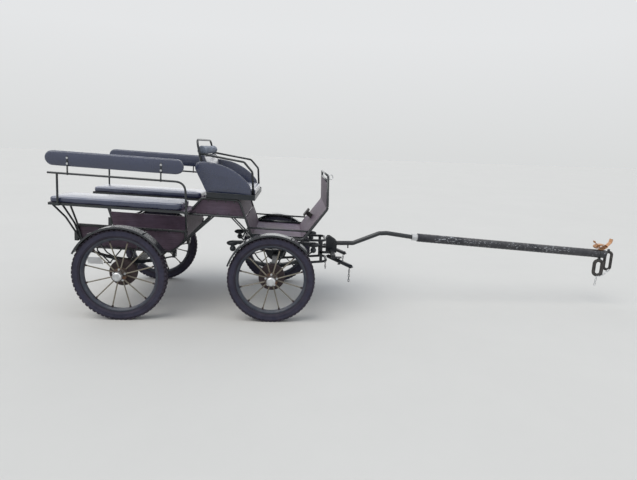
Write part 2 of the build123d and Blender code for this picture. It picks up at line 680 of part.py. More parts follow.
def make_driver_seat():
    """Tray, cushion, leaning back and two curved wings, with arm rails and a hoop behind."""
    front_x = TRAY_X + TRAY_L
    tray = block(TRAY_X, front_x, -TRAY_HALF, TRAY_HALF, TRAY_Z, TRAY_Z + TRAY_H)
    tray -= block(TRAY_X + TRAY_T, front_x - TRAY_T, TRAY_T - TRAY_HALF, TRAY_HALF - TRAY_T, SEAT_Z, FAR)
    tray += block(TRAY_X + 20, BOX_FRONT_TOP_X - 20, 40 - BOX_HALF, BOX_HALF - 40, BOX_TOP, TRAY_Z)
    base = SEAT_Z + RUN_GAP
    foot_x = TRAY_X + 22
    top_x, top_z = foot_x - SEAT_BACK_LEAN, base + SEAT_BACK_H
    inner = WING_Y - WING_T - RUN_GAP
    back = side_slab([(foot_x, base), (foot_x + SEAT_BACK_T, base), (top_x + SEAT_BACK_T, top_z), (top_x, top_z)],
                     -inner, inner)
    BODY["seat_back"] = fillet(back.edges().filter_by(Axis.Y).sort_by(Axis.Z)[-2:], 24)
    start = (foot_x, 0, base)
    shoulder = (top_x - 2, 0, top_z - 50)
    brow = (top_x + 10, 0, top_z - 8)
    crest = (foot_x + WING_CREST[0], 0, top_z + 7)
    nose = (foot_x + WING_NOSE[0], 0, base + WING_NOSE[1])
    swell = ((crest[0] + nose[0]) / 2 + 11, 0, crest[2] - 41)
    toe = (nose[0] + 27, 0, base)
    outline = make_face([Line(start, shoulder), ThreePointArc(shoulder, brow, crest),
                         ThreePointArc(crest, swell, nose), Line(nose, toe), Line(toe, start)])
    wing = Pos(0, WING_T - WING_Y, 0) * extrude(outline, WING_T, dir=(0, -1, 0))
    BODY["seat_wing_right"] = wing
    BODY["seat_wing_left"] = mirror(wing, about=Plane.XZ)
    cushion = block(foot_x + SEAT_BACK_T + 6, front_x - 6, -inner - RUN_GAP + 2, inner + RUN_GAP - 2,
                    base, base + SEAT_CUSHION_H)
    cushion = fillet(cushion.edges().filter_by(Axis.Z), 24)
    BODY["seat_cushion"] = fillet(cushion.faces().sort_by(Axis.Z)[-1].edges(), 20)
    hoop_foot = (TRAY_X + 6, SEAT_Z)
    hoop_top = (hoop_foot[0] - HOOP_LEAN, SEAT_Z + HOOP_H)
    corners = [(hoop_foot, -1), (hoop_top, -1), (hoop_top, 1), (hoop_foot, 1)]
    hoop = tube([(x, side * HOOP_Y, z) for (x, z), side in corners], FRAME_R, HOOP_BEND)
    heights = [hoop_top[1] - drop for drop in ARM_DROP]
    arm = tube([(between(hoop_foot, hoop_top, heights[0]), -HOOP_Y, heights[0]),
                (TRAY_X + ARM_X[0], -HOOP_Y, heights[1]), (TRAY_X + ARM_X[1], -HOOP_Y, heights[2]),
                (TRAY_X + ARM_X[2], -HOOP_Y, SEAT_Z)], FRAME_R, ARM_BEND)
    hoop = joined([hoop, arm, mirror(arm, about=Plane.XZ)]) & block(-FAR, FAR, -FAR, FAR, SEAT_Z, FAR)
    BODY["seat_hoop"] = hoop
    BODY["seat_tray"] = tray - hoop
    roll = Pos(top_x + SEAT_BACK_T / 2 + 4, 0, top_z + ROLL_R + RUN_GAP) * Rot(90, 0, 0) * Cylinder(ROLL_R, 2 * ROLL_HALF)
    BODY["rolled_cover"] = chamfer(roll.edges(), 12)


def make_footwell():
    """The driver's footwell with low sides, a sloped toe board with its pedal, and the upright dash
    with a rein rail and a loop at its end."""
    floor = block(WELL_REAR_X, WELL_FRONT_X, -WELL_HALF, WELL_HALF, WELL_Z, WELL_TOP)
    BODY["footwell_floor"] = floor
    foot = (WELL_FRONT_X + 6, WELL_Z + DASH_R)
    knee = (KNEE_X, KNEE_Z)
    rail_z = DASH_TOP_Z + RAIL_ABOVE
    frame = tube([(WELL_REAR_X + 18, -DASH_Y, foot[1]), (foot[0], -DASH_Y, foot[1]), (KNEE_X, -DASH_Y, KNEE_Z),
                  (DASH_TOP_X, -DASH_Y, rail_z)], DASH_R, DASH_BEND)
    frame += rod((WELL_REAR_X + 10, -DASH_Y, WELL_SIDE_Z), (between(foot, knee, WELL_SIDE_Z), -DASH_Y, WELL_SIDE_Z),
                 SIDE_RAIL_R)
    bars = [*both(frame).solids()]
    for z in (rail_z, DASH_TOP_Z + DASH_R):
        x = between(knee, (DASH_TOP_X, rail_z), z)
        bars.append(rod((x, -DASH_Y, z), (x, DASH_Y, z), CROSS_RAIL_R))
    loop_x = DASH_TOP_X + REIN_LOOP_R
    loop = Rot(90, 0, 0) * Torus(REIN_LOOP_R, REIN_WIRE)
    bars.append(Pos(loop_x, -DASH_Y, rail_z - REIN_LOOP_R / 3) * loop)
    BODY["dash_frame"] = joined(bars)
    rise = KNEE_Z - WELL_TOP
    run = hypot(DASH_RUN, rise)
    nx, nz = -rise / run * PLY, DASH_RUN / run * PLY
    toe = side_slab([(WELL_FRONT_X, WELL_TOP), knee, (KNEE_X + nx, KNEE_Z + nz), (WELL_FRONT_X + nx, WELL_TOP + nz)],
                    -WELL_HALF, WELL_HALF) - floor
    wide, tall, thick = PEDAL
    share = PEDAL_UP / run
    pedal_at = (WELL_FRONT_X + nx + DASH_RUN * share, PEDAL_Y, WELL_TOP + nz + rise * share)
    on_toe = Plane(origin=pedal_at, x_dir=(DASH_RUN, 0, rise), z_dir=(nx, 0, nz))
    pedal = on_toe * Pos(0, 0, thick / 2 - 1) * Box(tall, wide, thick)
    BODY["toe_board"] = toe + pedal
    side = block(WELL_REAR_X + PLY + 10, FAR, -WELL_HALF, PLY - WELL_HALF, WELL_TOP, WELL_SIDE_Z)
    back_face = ((WELL_FRONT_X + nx, WELL_TOP + nz), (KNEE_X + nx, KNEE_Z + nz))
    front = side_slab([(between(*back_face, WELL_Z) - RUN_GAP, WELL_Z), (FAR, WELL_Z), (FAR, FAR),
                       (between(*back_face, FAR) - RUN_GAP, FAR)], -WELL_HALF - 1, 0)
    BODY["footwell_sides"] = both(side - front - frame)
    low = KNEE_Z + nz + 2
    dash = side_slab([(KNEE_X, low), (DASH_TOP_X + 4, DASH_TOP_Z), (DASH_TOP_X + 4 - PLY, DASH_TOP_Z),
                      (KNEE_X - PLY, low)], -WELL_HALF, WELL_HALF)
    BODY["dash_panel"] = dash


def make_rear_gear():
    """Rear axle on two leaf springs below the bearers, and the rear mudguards."""
    BODY["rear_axle"] = axle(0, 0)
    packs = [spring_pack(0, AXLE_SIDE / 2, y, REAR_RISE) for y in (-SPRING_Y, SPRING_Y)]
    BODY["rear_springs"] = Compound(children=packs)
    BODY["rear_fenders"] = both(fender(0, 0, REAR_TYRE_R, REAR_FENDER, REAR_STAYS))


def make_turntable():
    """Fixed upper ring on two wedges below the leaning footwell, with the kingpin."""
    face = TURN_Z + RUN_GAP
    top = face + RING_T
    ring = Pos(0, 0, face + RING_T / 2) * (Cylinder(RING_OUT, RING_T) - Cylinder(RING_IN, RING_T + 2))
    reach = RING_OUT * 0.62
    upper = ring + block(-reach, reach, -WEDGE_W, WEDGE_W, face, top)
    footwell = Pos(-WHEELBASE, 0, 0) * leaned(block(0, FAR, -FAR, FAR, WELL_Z, FAR))
    for x in (-reach, reach):
        wedge = block(x - WEDGE_W / 2, x + WEDGE_W / 2, -RING_OUT * 0.9, RING_OUT * 0.9, top, FAR)
        upper += wedge - footwell
    upper += Pos(0, 0, face - KINGPIN_L / 2) * Cylinder(KINGPIN_R, KINGPIN_L)
    STANDING["turntable_upper"] = Pos(WHEELBASE, 0, 0) * upper


def draught_loop(rear_x, rear_z, front_x, front_z):
    """A bent bar that runs forward, crosses in front and comes back on the other side."""
    corners = [(rear_x, -LOOP_HALF, rear_z), (front_x, -LOOP_HALF, front_z), (front_x, LOOP_HALF, front_z),
               (rear_x, LOOP_HALF, rear_z)]
    return tube(corners, LOOP_R, LOOP_BEND)


def make_forecarriage():
    """Lower ring on side bars with the front springs' ears, two bent draught bars that reach
    forward, the axle, and the mudguards."""
    x = WHEELBASE
    ring = Pos(x, 0, TURN_Z - RING_T / 2) * (Cylinder(RING_OUT, RING_T) - Cylinder(RING_IN, RING_T + 2))
    lower = ring + block(x - RING_OUT * 0.9, x + RING_OUT * 0.9, -60, 60, BAR_TOP, TURN_Z)
    lower -= Pos(x, 0, TURN_Z) * Cylinder(KINGPIN_R + PIN_GAP, 4 * RING_T)
    frame = [lower]
    bar = EYE_X + EAR_HALF + 4
    for y in (-SPRING_Y, SPRING_Y):
        frame.append(block(x - bar, x + bar, y - SIDE_BAR_W / 2, y + SIDE_BAR_W / 2, BAR_LOW, BAR_TOP))
        for eye_x in (x - EYE_X, x + EYE_X):
            frame.append(spring_ears(eye_x, y, BAR_LOW - FRONT_HANG, BAR_LOW, BAR_TOP))
    cross = 150.0
    for cross_x in (x - cross, x + cross):
        frame.append(block(cross_x - CROSS_W, cross_x + CROSS_W, -SPRING_Y, SPRING_Y, BAR_LOW, BAR_TOP))
    frame.append(draught_loop(x + cross, BAR_LOW + LOOP_R + 4, GEAR_X, BAR_LOW + LOOP_R + 4))
    low_loop = draught_loop(x + AXLE_SIDE / 4, LOW_LOOP_Z - 44, GEAR_X + LOW_LOOP_OUT, LOW_LOOP_Z)
    for y in (-LOOP_HALF, LOOP_HALF):
        plate = side_slab([(GEAR_X - 70, BAR_TOP - 3), (GEAR_X - 30, BAR_TOP - 3), (SPLINTER_X - SPLINTER_SIDE / 2, SPLINTER_Z + 30),
                           (SPLINTER_X - SPLINTER_SIDE / 2, SPLINTER_Z - 30), (GEAR_X - 20, LOW_LOOP_Z - LOOP_R),
                           (GEAR_X - 70, LOW_LOOP_Z - LOOP_R)], y - CARRIER_T / 2, y + CARRIER_T / 2)
        frame.append(plate - low_loop)
    STANDING["forecarriage_frame"] = joined(frame)
    base = FRONT_TYRE_R + AXLE_SIDE / 2
    packs = [spring_pack(x, base, y, FRONT_RISE) for y in (-SPRING_Y, SPRING_Y)]
    STANDING["front_springs"] = Compound(children=packs)
    hook = (GEAR_X + LOW_LOOP_OUT, 0, LOW_LOOP_Z - LOOP_R + 3)
    gear_chain = chain([hook, (hook[0] + 3, 0, hook[2] - 4.5 * LINK_PITCH)])
    STANDING["front_axle"] = joined([axle(x, FRONT_TYRE_R), low_loop, gear_chain])
    STANDING["front_fenders"] = both(fender(x, FRONT_TYRE_R, FRONT_TYRE_R, FRONT_FENDER, FRONT_STAYS))


def make_splinter_bar():
    """Cross bar in front of the draught bars, with an arm and a bolt for each swingletree and two
    cheeks that hold the pole's pin."""
    half = SPLINTER_SIDE / 2
    low, high = SPLINTER_Z - half, SPLINTER_Z + half
    pieces = [block(SPLINTER_X - half, SPLINTER_X + half, -SWINGLE_Y - 60, SWINGLE_Y + 60, low, high)]
    for y in (-SWINGLE_Y, SWINGLE_Y):
        pieces.append(block(SPLINTER_X, SWINGLE_X + 24, y - 24, y + 24, low, low + CHEEK_T))
        pieces.append(rod((SWINGLE_X, y, SWINGLE_Z - SWINGLE_R - 10), (SWINGLE_X, y, low + 2), SWINGLE_BOLT_R))
        pieces.append(rod((SWINGLE_X, y, SWINGLE_Z - SWINGLE_R - 14), (SWINGLE_X, y, SWINGLE_Z - SWINGLE_R - 6), 15))
    px, pz = POLE_PIN
    for y in (-CHEEK_Y, CHEEK_Y):
        pieces.append(side_slab([(SPLINTER_X - 54, low - 6), (px + 22, low - 6), (px + 26, pz + 20), (px + 6, pz + 42),
                                 (SPLINTER_X - 16, pz + 80), (SPLINTER_X - 40, pz + 80), (SPLINTER_X - 54, pz + 60)],
                                y - CHEEK_T / 2, y + CHEEK_T / 2))
    pieces.append(disc(px, pz, POLE_PIN_R, -CHEEK_Y - 14, CHEEK_Y + 14))
    STANDING["splinter_bar"] = joined(pieces)


def make_swingletree(side, chain_end, links):
    """One round bar on its bolt, turned as it lies, with a flat eye at each end for the traces and a
    short chain under one end."""
    bar = rod((0, 26 - SWINGLE_HALF, 0), (0, SWINGLE_HALF - 26, 0), SWINGLE_R)
    eye_y = SWINGLE_HALF - 10
    for end in (-1, 1):
        neck = sorted((end * (eye_y - TRACE_NECK), end * eye_y))
        bar += block(-TRACE_EYE_R, TRACE_EYE_R, *neck, -TRACE_PLATE_T / 2, TRACE_PLATE_T / 2)
        bar += Pos(0, end * eye_y, 0) * Cylinder(TRACE_EYE_R, TRACE_PLATE_T)
        bar -= Pos(0, end * eye_y, 0) * Cylinder(TRACE_BORE_R, 3 * TRACE_PLATE_T)
    bar -= Cylinder(SWINGLE_BOLT_R + PIN_GAP, 3 * SWINGLE_R)
    hang = chain_end * (SWINGLE_HALF - 52)
    bar += chain([(0, hang, 3 - SWINGLE_R), (0, hang + 4, 3 - SWINGLE_R - links * LINK_PITCH)])
    return Pos(SWINGLE_X, side * SWINGLE_Y, SWINGLE_Z) * Rot(0, 0, SWINGLE_REST) * bar


def from_pin(run):
    """A point of the pole, given as forward and up from its pin."""
    return (POLE_PIN[0] + run[0], 0, POLE_PIN[1] + run[1])


def draw_loop(centre, turn, wire):
    """An upright oval ring of round section, turned about the vertical."""
    half, tall = DRAW_LOOP
    straight = tall - half
    arcs = [Line((-half, -straight), (-half, straight)),
            ThreePointArc((-half, straight), (0, tall), (half, straight)),
            Line((half, straight), (half, -straight)),
            ThreePointArc((half, -straight), (0, -tall), (-half, -straight))]
    path = Wire([edge.edge() for edge in arcs])
    ring = sweep(Plane(origin=(-half, -straight, 0), z_dir=(0, 1, 0)) * Circle(wire), path=path)
    return Pos(*centre) * Rot(0, 0, turn) * Rot(90, 0, 0) * ring


def make_pole():
    """Steel root that rises to a crest, a collar, the thick wrapped length, and at its head a cap
    with two draw loops, their chain and a strap."""
    px, pz = POLE_PIN
    root = tube([(px - ROOT_TAIL, 0, pz), from_pin(ROOT_END), from_pin(RISE_TOP), from_pin(CREST),
                 from_pin(COLLAR_AT)], POLE_ROOT_R, ROOT_BEND)
    root -= disc(px, pz, POLE_PIN_R + PIN_GAP, -2 * CHEEK_Y, 2 * CHEEK_Y)
    tab_x = px + ROOT_END[0] - 55
    root += block(tab_x - 7, tab_x + 7, -4, 4, pz - POLE_ROOT_R - 28, pz - POLE_ROOT_R + 4)
    collar = rod(from_pin(COLLAR_AT), from_pin(SLEEVE_AT), POLE_COLLAR_R)
    start, tip = Vector(*from_pin(SLEEVE_AT)), Vector(*from_pin(TIP_AT))
    along = (tip - start).normalized()
    sleeve = rod(start, tip, POLE_SLEEVE_R)
    STANDING["pole_root"] = root
    STANDING["pole_collar"] = collar - root
    STANDING["pole_sleeve"] = sleeve - collar
    out = tip + along * HEAD_CAP_L
    cap = chamfer(rod(tip, out, HEAD_R).faces().sort_by(Axis.X)[-1].edges(), 4)
    front_centre = (tip.X + 64, 16, tip.Z - 60)
    rear_centre = (tip.X - HEAD_BAND_SET, -10, tip.Z - POLE_SLEEVE_R - DRAW_LOOP[1] - 14)
    hooks = []
    for centre, turn in ((front_centre, -24), (rear_centre, -14)):
        top = (centre[0], centre[1], centre[2] + DRAW_LOOP[1])
        c, s = cos(radians(turn)), sin(radians(turn))
        eye = rod((top[0] - 11 * c, top[1] - 11 * s, top[2]), (top[0] + 11 * c, top[1] + 11 * s, top[2]), DRAW_WIRE + 6)
        hooks.append((eye, draw_loop(centre, turn, DRAW_WIRE + RUN_GAP), draw_loop(centre, turn, DRAW_WIRE)))
    front_top = (front_centre[0], front_centre[1], front_centre[2] + DRAW_LOOP[1])
    nose = tube([tip + along * 4 + Vector(0, 0, 10), Vector(tip.X + 34, 4, tip.Z + 12), Vector(*front_top)], 11, 14)
    front_eye = cap + nose + hooks[0][0] - hooks[0][1]
    band_at = tip - along * HEAD_BAND_SET
    band = rod(band_at - along * (HEAD_BAND_W / 2), band_at + along * (HEAD_BAND_W / 2), HEAD_R + HEAD_BAND_T)
    rear_eye = band + hooks[1][0] - rod(start, tip, POLE_SLEEVE_R + RUN_GAP) - hooks[1][1]
    STANDING["pole_head"] = Compound(children=[*front_eye.solids(), *rear_eye.solids()])
    STANDING["pole_loops"] = Compound(children=[*hooks[0][2].solids(), *hooks[1][2].solids()])
    low_rear = Vector(rear_centre[0], rear_centre[1], rear_centre[2] - DRAW_LOOP[1])
    low_front = Vector(front_centre[0], front_centre[1], front_centre[2] - DRAW_LOOP[1])
    rings = []
    for low, turn in ((low_rear, -14), (low_front, -24)):
        ring = link_outline(DRAW_WIRE + 8, DRAW_WIRE + 8, 8) - link_outline(DRAW_WIRE + 3, DRAW_WIRE + 3, 6)
        ring = Pos(0, 0, -LINK_WIRE / 2) * extrude(ring, LINK_WIRE)
        rings.append(Pos(low.X, low.Y, low.Z - 3 + RUN_GAP) * Rot(0, 0, turn) * Rot(0, 90, 0) * ring)
    drop = Vector(0, 0, DRAW_WIRE + 9)
    sag = (low_rear + low_front) * 0.5 - Vector(0, 0, DRAW_WIRE + 26)
    links = chain([low_rear - drop, sag, low_front - drop])
    tail = chain([low_rear - drop, low_rear - drop - Vector(14, 0, 96)])
    STANDING["pole_chain"] = joined([links, tail, *rings]) - hooks[0][1] - hooks[1][1]
    STANDING["pole_strap"] = pole_strap(tip, along)


def pole_strap(tip, along):
    """A leather strap laid along the top of the pole's head with both ends curling up."""
    up = Vector(-along.Z, 0, along.X)
    seat = HEAD_R + HEAD_BAND_T + RUN_GAP + STRAP_T / 2
    at = lambda back, high: tuple(tip - along * back + up * (seat + high))
    path = FilletPolyline(at(150, 78), at(122, 0), at(10, 0), at(-24, 18), at(-78, 104), radius=STRAP_BEND)
    return sweep(Plane(origin=path @ 0, x_dir=(0, 1, 0), z_dir=path % 0) * Rectangle(STRAP_W, STRAP_T), path=path)


make_tub()
make_floor_bearers()
make_body_posts()
make_benches()
make_seat_box()
make_driver_seat()
make_footwell()
make_rear_gear()
make_turntable()
make_forecarriage()
make_splinter_bar()
make_pole()
STANDING["swingletree_right"] = make_swingletree(-1, -1, 6)
STANDING["swingletree_left"] = make_swingletree(1, -1, 4)
for row, x, radius in (("rear", 0, REAR_TYRE_R), ("front", WHEELBASE, FRONT_TYRE_R)):
    for name, side in (("right", -1), ("left", 1)):
        for kind, piece in zip(("tyre", "wheel", "drum", "hub_cap"), wheel_parts(x, radius, side)):
            STANDING[kind + "_" + row + "_" + name] = piece

PARTS = {name: leaned(shape) for name, shape in BODY.items()}
PARTS.update(STANDING)
BOXES = [shape.bounding_box() for shape in PARTS.values()]
ORIGIN_X = (min(box.min.X for box in BOXES) + max(box.max.X for box in BOXES)) / 2
PARTS = {name: Pos(-ORIGIN_X, 0, 0) * shape for name, shape in PARTS.items()}

os.makedirs("parts", exist_ok=True)
for name, shape in PARTS.items():
    export_step(shape, "parts/" + name + ".step")
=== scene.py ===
import json
import math

import bmesh
import bpy
from mathutils import Matrix, Vector, noise
from mathutils.bvhtree import BVHTree


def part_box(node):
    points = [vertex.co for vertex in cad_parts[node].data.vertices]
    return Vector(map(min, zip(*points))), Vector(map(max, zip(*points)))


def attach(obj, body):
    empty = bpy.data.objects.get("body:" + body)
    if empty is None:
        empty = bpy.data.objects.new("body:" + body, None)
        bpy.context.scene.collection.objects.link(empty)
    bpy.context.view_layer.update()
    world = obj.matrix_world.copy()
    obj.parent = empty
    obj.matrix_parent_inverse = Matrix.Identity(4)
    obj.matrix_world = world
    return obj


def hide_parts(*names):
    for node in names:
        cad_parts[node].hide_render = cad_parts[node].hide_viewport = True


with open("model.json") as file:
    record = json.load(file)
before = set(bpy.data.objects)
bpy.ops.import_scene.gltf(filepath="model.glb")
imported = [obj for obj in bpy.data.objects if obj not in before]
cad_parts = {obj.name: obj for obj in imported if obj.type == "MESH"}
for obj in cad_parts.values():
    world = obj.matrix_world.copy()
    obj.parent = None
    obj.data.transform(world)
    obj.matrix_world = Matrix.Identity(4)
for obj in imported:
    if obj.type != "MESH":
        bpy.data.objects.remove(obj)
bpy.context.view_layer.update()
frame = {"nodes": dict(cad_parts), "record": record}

NODES = frame["nodes"]
SCENE = bpy.context.scene


def rear_shaft_x():
    """Where the rear axle stands, from its own CAD piece."""
    low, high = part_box("rear_axle")
    return (low[0] + high[0]) / 2


# The carriage's main sizes, in metres, as in the part's source
REAR_X = rear_shaft_x()
REAR_R = 0.430
FRONT_R = 0.410
WHEELBASE = 1.395
TRACK_HALF = 0.700
BODY_PITCH = math.radians(2.5)
TYRE_H = 0.078
TYRE_HALF = 0.043
RIM_HALF = 0.028
RIM_SEAT = 0.012
HUB_IN = 0.072
SPOKES = 12
BENCH_REAR = -0.626
BOARD_TOP = 0.6283
BACKREST_MIDDLE = 1.0265
BRACKETS_X = (-0.450, 0.360)
SEAT_BASE = 0.7503

# How the scene's cushions differ from their solids: the benches' height and the seat back's
CUSHION_SQUASH = 0.58
BACK_GROWN = 1.22

HANDS = {"right": -1, "left": 1}
SIDES = (-1, 1)
TURN = 2 * math.pi
ACROSS = Vector((0, 1, 0))
UP = Vector((0, 0, 1))

# The body leans about the rear axle. LEAN takes its own level places to where they stand.
LEAN = Matrix.Translation((REAR_X, 0, REAR_R)) @ Matrix.Rotation(BODY_PITCH, 4, "Y")
UNLEAN = LEAN.inverted()

# Camera, solved from the photograph
LENS_PX = 480.3
PHOTO_W = 637
CAMERA_AT = (REAR_X + 1.5723, -5.0903, 1.6653)
CAMERA_DOWN = 0.19422
CAMERA_ROLL = 0.03498
CAMERA_YAW = -0.05824

# The air swells the cushions over this many frames
AIR_FRAMES = 20


def on_body(x, y, z):
    """A place drawn on the level body, in metres, where it stands on the leaning one."""
    return LEAN @ Vector((x, y, z))


def way_on_body(x, y, z):
    """A direction drawn on the level body, as the leaning one has it."""
    return LEAN.to_3x3() @ Vector((x, y, z))


def on_road(x, y, z):
    """A place on the level gear, measured from the rear axle and the road."""
    return Vector((REAR_X + x, y, z))


def circle(count, start=0.0):
    """The cosine and sine of evenly spaced angles round a circle."""
    angles = [TURN * step / count + start for step in range(count)]
    return [(math.cos(angle), math.sin(angle)) for angle in angles]


def evenly(first, last, count):
    """Evenly spaced numbers, both ends included."""
    return [first + (last - first) * number / (count - 1) for number in range(count)]


def make_camera():
    """A camera where the photographer stood, a little rolled and turned towards the pole."""
    forward = Vector((-math.sin(CAMERA_YAW) * math.cos(CAMERA_DOWN),
                      math.cos(CAMERA_YAW) * math.cos(CAMERA_DOWN), -math.sin(CAMERA_DOWN)))
    right = Vector((math.cos(CAMERA_YAW), math.sin(CAMERA_YAW), 0))
    down = forward.cross(right)
    right, down = (right * math.cos(CAMERA_ROLL) - down * math.sin(CAMERA_ROLL),
                   right * math.sin(CAMERA_ROLL) + down * math.cos(CAMERA_ROLL))
    data = bpy.data.cameras.new("photo_camera")
    data.sensor_width = 36.0
    data.sensor_fit = "HORIZONTAL"
    data.lens = LENS_PX / PHOTO_W * data.sensor_width
    data.clip_end = 200
    camera = bpy.data.objects.new("photo_camera", data)
    turn = Matrix((right, -down, -forward)).transposed()
    camera.matrix_world = Matrix.Translation(CAMERA_AT) @ turn.to_4x4()
    SCENE.collection.objects.link(camera)
    SCENE.camera = camera


# Node trees, for materials and geometry alike


def rgb(red, green, blue):
    return (red, green, blue, 1.0)


GREY = rgb(.5, .5, .5)
FLOAT, COLOUR, VECTOR = "NodeSocketFloat", "NodeSocketColor", "NodeSocketVector"
GEOMETRY, MATERIAL = "NodeSocketGeometry", "NodeSocketMaterial"
KINDS = {float: FLOAT, int: "NodeSocketInt", tuple: COLOUR}


class Nodes:
    """A node tree, with short ways to build in it. Its patterns run over its vector."""

    def __init__(self, tree):
        self.tree = tree
        self.vector = None

    def link(self, value, socket):
        """Link a value to a socket, or set it there where it is plain."""
        if isinstance(value, bpy.types.NodeSocket):
            self.tree.links.new(value, socket)
        else:
            socket.default_value = value

    def node(self, kind, inputs=None, **settings):
        """Add a node, set it up, and link or set its named inputs."""
        node = self.tree.nodes.new(kind)
        for key, value in settings.items():
            setattr(node, key, value)
        for key, value in (inputs or {}).items():
            self.link(value, node.inputs[key])
        return node

    def put(self, kind, inputs=None, **settings):
        """Add a node and give its first output."""
        return self.node(kind, inputs, **settings).outputs[0]

    def calc(self, operation, *values, clamp=False):
        """A Math node's result."""
        return self.put("ShaderNodeMath", dict(enumerate(values)), operation=operation, use_clamp=clamp)

    def plus(self, *values, clamp=False):
        return self.calc("ADD", *values, clamp=clamp)

    def times(self, *values, clamp=False):
        return self.calc("MULTIPLY", *values, clamp=clamp)

    def ramp(self, value, low, high, to_low=0.0, to_high=1.0):
        """A value's range stretched to another, held at its ends."""
        return self.put("ShaderNodeMapRange", {"Value": value, "From Min": low, "From Max": high,
                                               "To Min": to_low, "To Max": to_high})

    def blend(self, share, first, second):
        """Two colours mixed by a share."""
        return self.node("ShaderNodeMix", {0: share, 6: first, 7: second}, data_type="RGBA").outputs[2]

    def cloudy(self, scale, detail=4.0, rough=0.6, seed=0.0, over=None):
        """A noise value over the tree's vector, or over another one."""
        vector = self.vector if over is None else over
        return self.put("ShaderNodeTexNoise", {"Vector": vector, "Scale": scale, "Detail": detail,
                                               "Roughness": rough, "W": seed}, noise_dimensions="4D")

    def stretched(self, *scale):
        """The tree's vector with a pattern's fineness set for each direction."""
        return self.put("ShaderNodeMapping", {"Vector": self.vector, "Scale": scale})

    def parts(self, vector):
        """A vector's X, Y and Z."""
        return self.node("ShaderNodeSeparateXYZ", {0: vector}).outputs

    def xyz(self, **axes):
        return self.put("ShaderNodeCombineXYZ", axes)

    def facing(self):
        """The way that a surface faces."""
        return self.node("ShaderNodeNewGeometry").outputs["Normal"]

    def use(self, group, **inputs):
        """Place a shared group. Underscores in the names of its inputs stand for spaces."""
        node = self.node("ShaderNodeGroup", node_tree=GROUPS[group])
        for key, value in {"Vector": self.vector, **inputs}.items():
            self.link(value, node.inputs[key.replace("_", " ")])
        return node.outputs


class Group(Nodes):
    """A new tree with named inputs and outputs. An input is given by its first value or by its kind."""

    def __init__(self, kind, name, inputs, outputs):
        super().__init__(bpy.data.node_groups.new(name, kind))
        for label, value in inputs.items():
            shape = value if isinstance(value, str) else KINDS[type(value)]
            label = label.replace("_", " ")
            socket = self.tree.interface.new_socket(label, in_out="INPUT", socket_type=shape)
            if shape is not value:
                socket.default_value = value
        for label, shape in outputs.items():
            self.tree.interface.new_socket(label, in_out="OUTPUT", socket_type=shape)
        self.get = self.node("NodeGroupInput").outputs
        self.out = self.node("NodeGroupOutput").inputs

    def send(self, **values):
        """Link values to the tree's outputs, and give the tree."""
        for key, value in values.items():
            self.link(value, self.out[key])
        return self.tree


class Effect(Group):
    """A shader group for an effect that several materials share."""

    def __init__(self, name, outputs, **inputs):
        super().__init__("ShaderNodeTree", name, {"Vector": VECTOR, **inputs}, outputs)
        self.vector = self.get["Vector"]


def uneven_tone():
    """Colour that drifts a little lighter and darker, as paint and cloth do after years outdoors."""
    tone = Effect("uneven_tone", {"Colour": COLOUR}, Colour=GREY, Strength=0.3, Scale=6.0)
    wide = tone.cloudy(tone.get["Scale"], 3.0)
    fine = tone.cloudy(tone.times(tone.get["Scale"], 9.0), 5.0, seed=3.0)
    mixed = tone.plus(tone.times(wide, 0.65), tone.times(fine, 0.35))
    lift = tone.ramp(mixed, 0.3, 0.7, -1.0, 1.0)
    value = tone.plus(tone.times(lift, tone.get["Strength"]), 1.0)
    drifted = tone.put("ShaderNodeHueSaturation", {"Color": tone.get["Colour"], "Value": value})
    return tone.send(Colour=drifted)


def road_dust():
    """Pale dust that lies on what faces up and clings in patches elsewhere."""
    dust = Effect("road_dust", {"Colour": COLOUR, "Cover": FLOAT}, Colour=GREY, Dust=rgb(.36, .33, .28),
                  On_Top=0.5, On_Sides=0.12, Scale=9.0)
    up = dust.parts(dust.facing())["Z"]
    lies = dust.times(dust.ramp(up, 0.15, 0.95), dust.get["On Top"])
    held = dust.calc("MAXIMUM", lies, dust.get["On Sides"])
    patch = dust.ramp(dust.cloudy(dust.get["Scale"], 6.0, 0.65), 0.36, 0.66)
    speck = dust.ramp(dust.cloudy(160.0, 2.0, seed=7.0), 0.42, 0.62, 0.55, 1.0)
    cover = dust.times(dust.times(held, patch), speck, clamp=True)
    return dust.send(Colour=dust.blend(cover, dust.get["Colour"], dust.get["Dust"]), Cover=cover)


def rubbed_edges():
    """A mask along outer edges, broken up, where hands and boots rub."""
    rub = Effect("rubbed_edges", {"Mask": FLOAT}, Width=0.004, Amount=0.7, Scale=30.0)
    soft = rub.put("ShaderNodeBevel", {"Radius": rub.get["Width"]}, samples=4)
    same = rub.node("ShaderNodeVectorMath", {0: soft, 1: rub.facing()}, operation="DOT_PRODUCT")
    edge = rub.ramp(same.outputs["Value"], 0.97, 0.75)
    broken = rub.ramp(rub.cloudy(rub.get["Scale"], 5.0, seed=5.0), 0.42, 0.6)
    return rub.send(Mask=rub.times(rub.times(edge, broken), rub.get["Amount"], clamp=True))


def rust_bloom():
    """Brown patches that spread from pits, with darker hearts."""
    rust = Effect("rust_bloom", {"Colour": COLOUR, "Mask": FLOAT}, Colour=GREY, Amount=0.3, Scale=14.0)
    field = rust.cloudy(rust.get["Scale"], 8.0, 0.72, seed=11.0)
    start = rust.calc("SUBTRACT", 0.78, rust.times(rust.get["Amount"], 0.5))
    mask = rust.ramp(field, start, rust.plus(start, 0.09))
    grain = rust.ramp(rust.cloudy(120.0, 4.0, seed=13.0), 0.35, 0.65)
    brown = rust.blend(grain, rgb(.075, .032, .016), rgb(.25, .115, .05))
    return rust.send(Colour=rust.blend(mask, rust.get["Colour"], brown), Mask=mask)


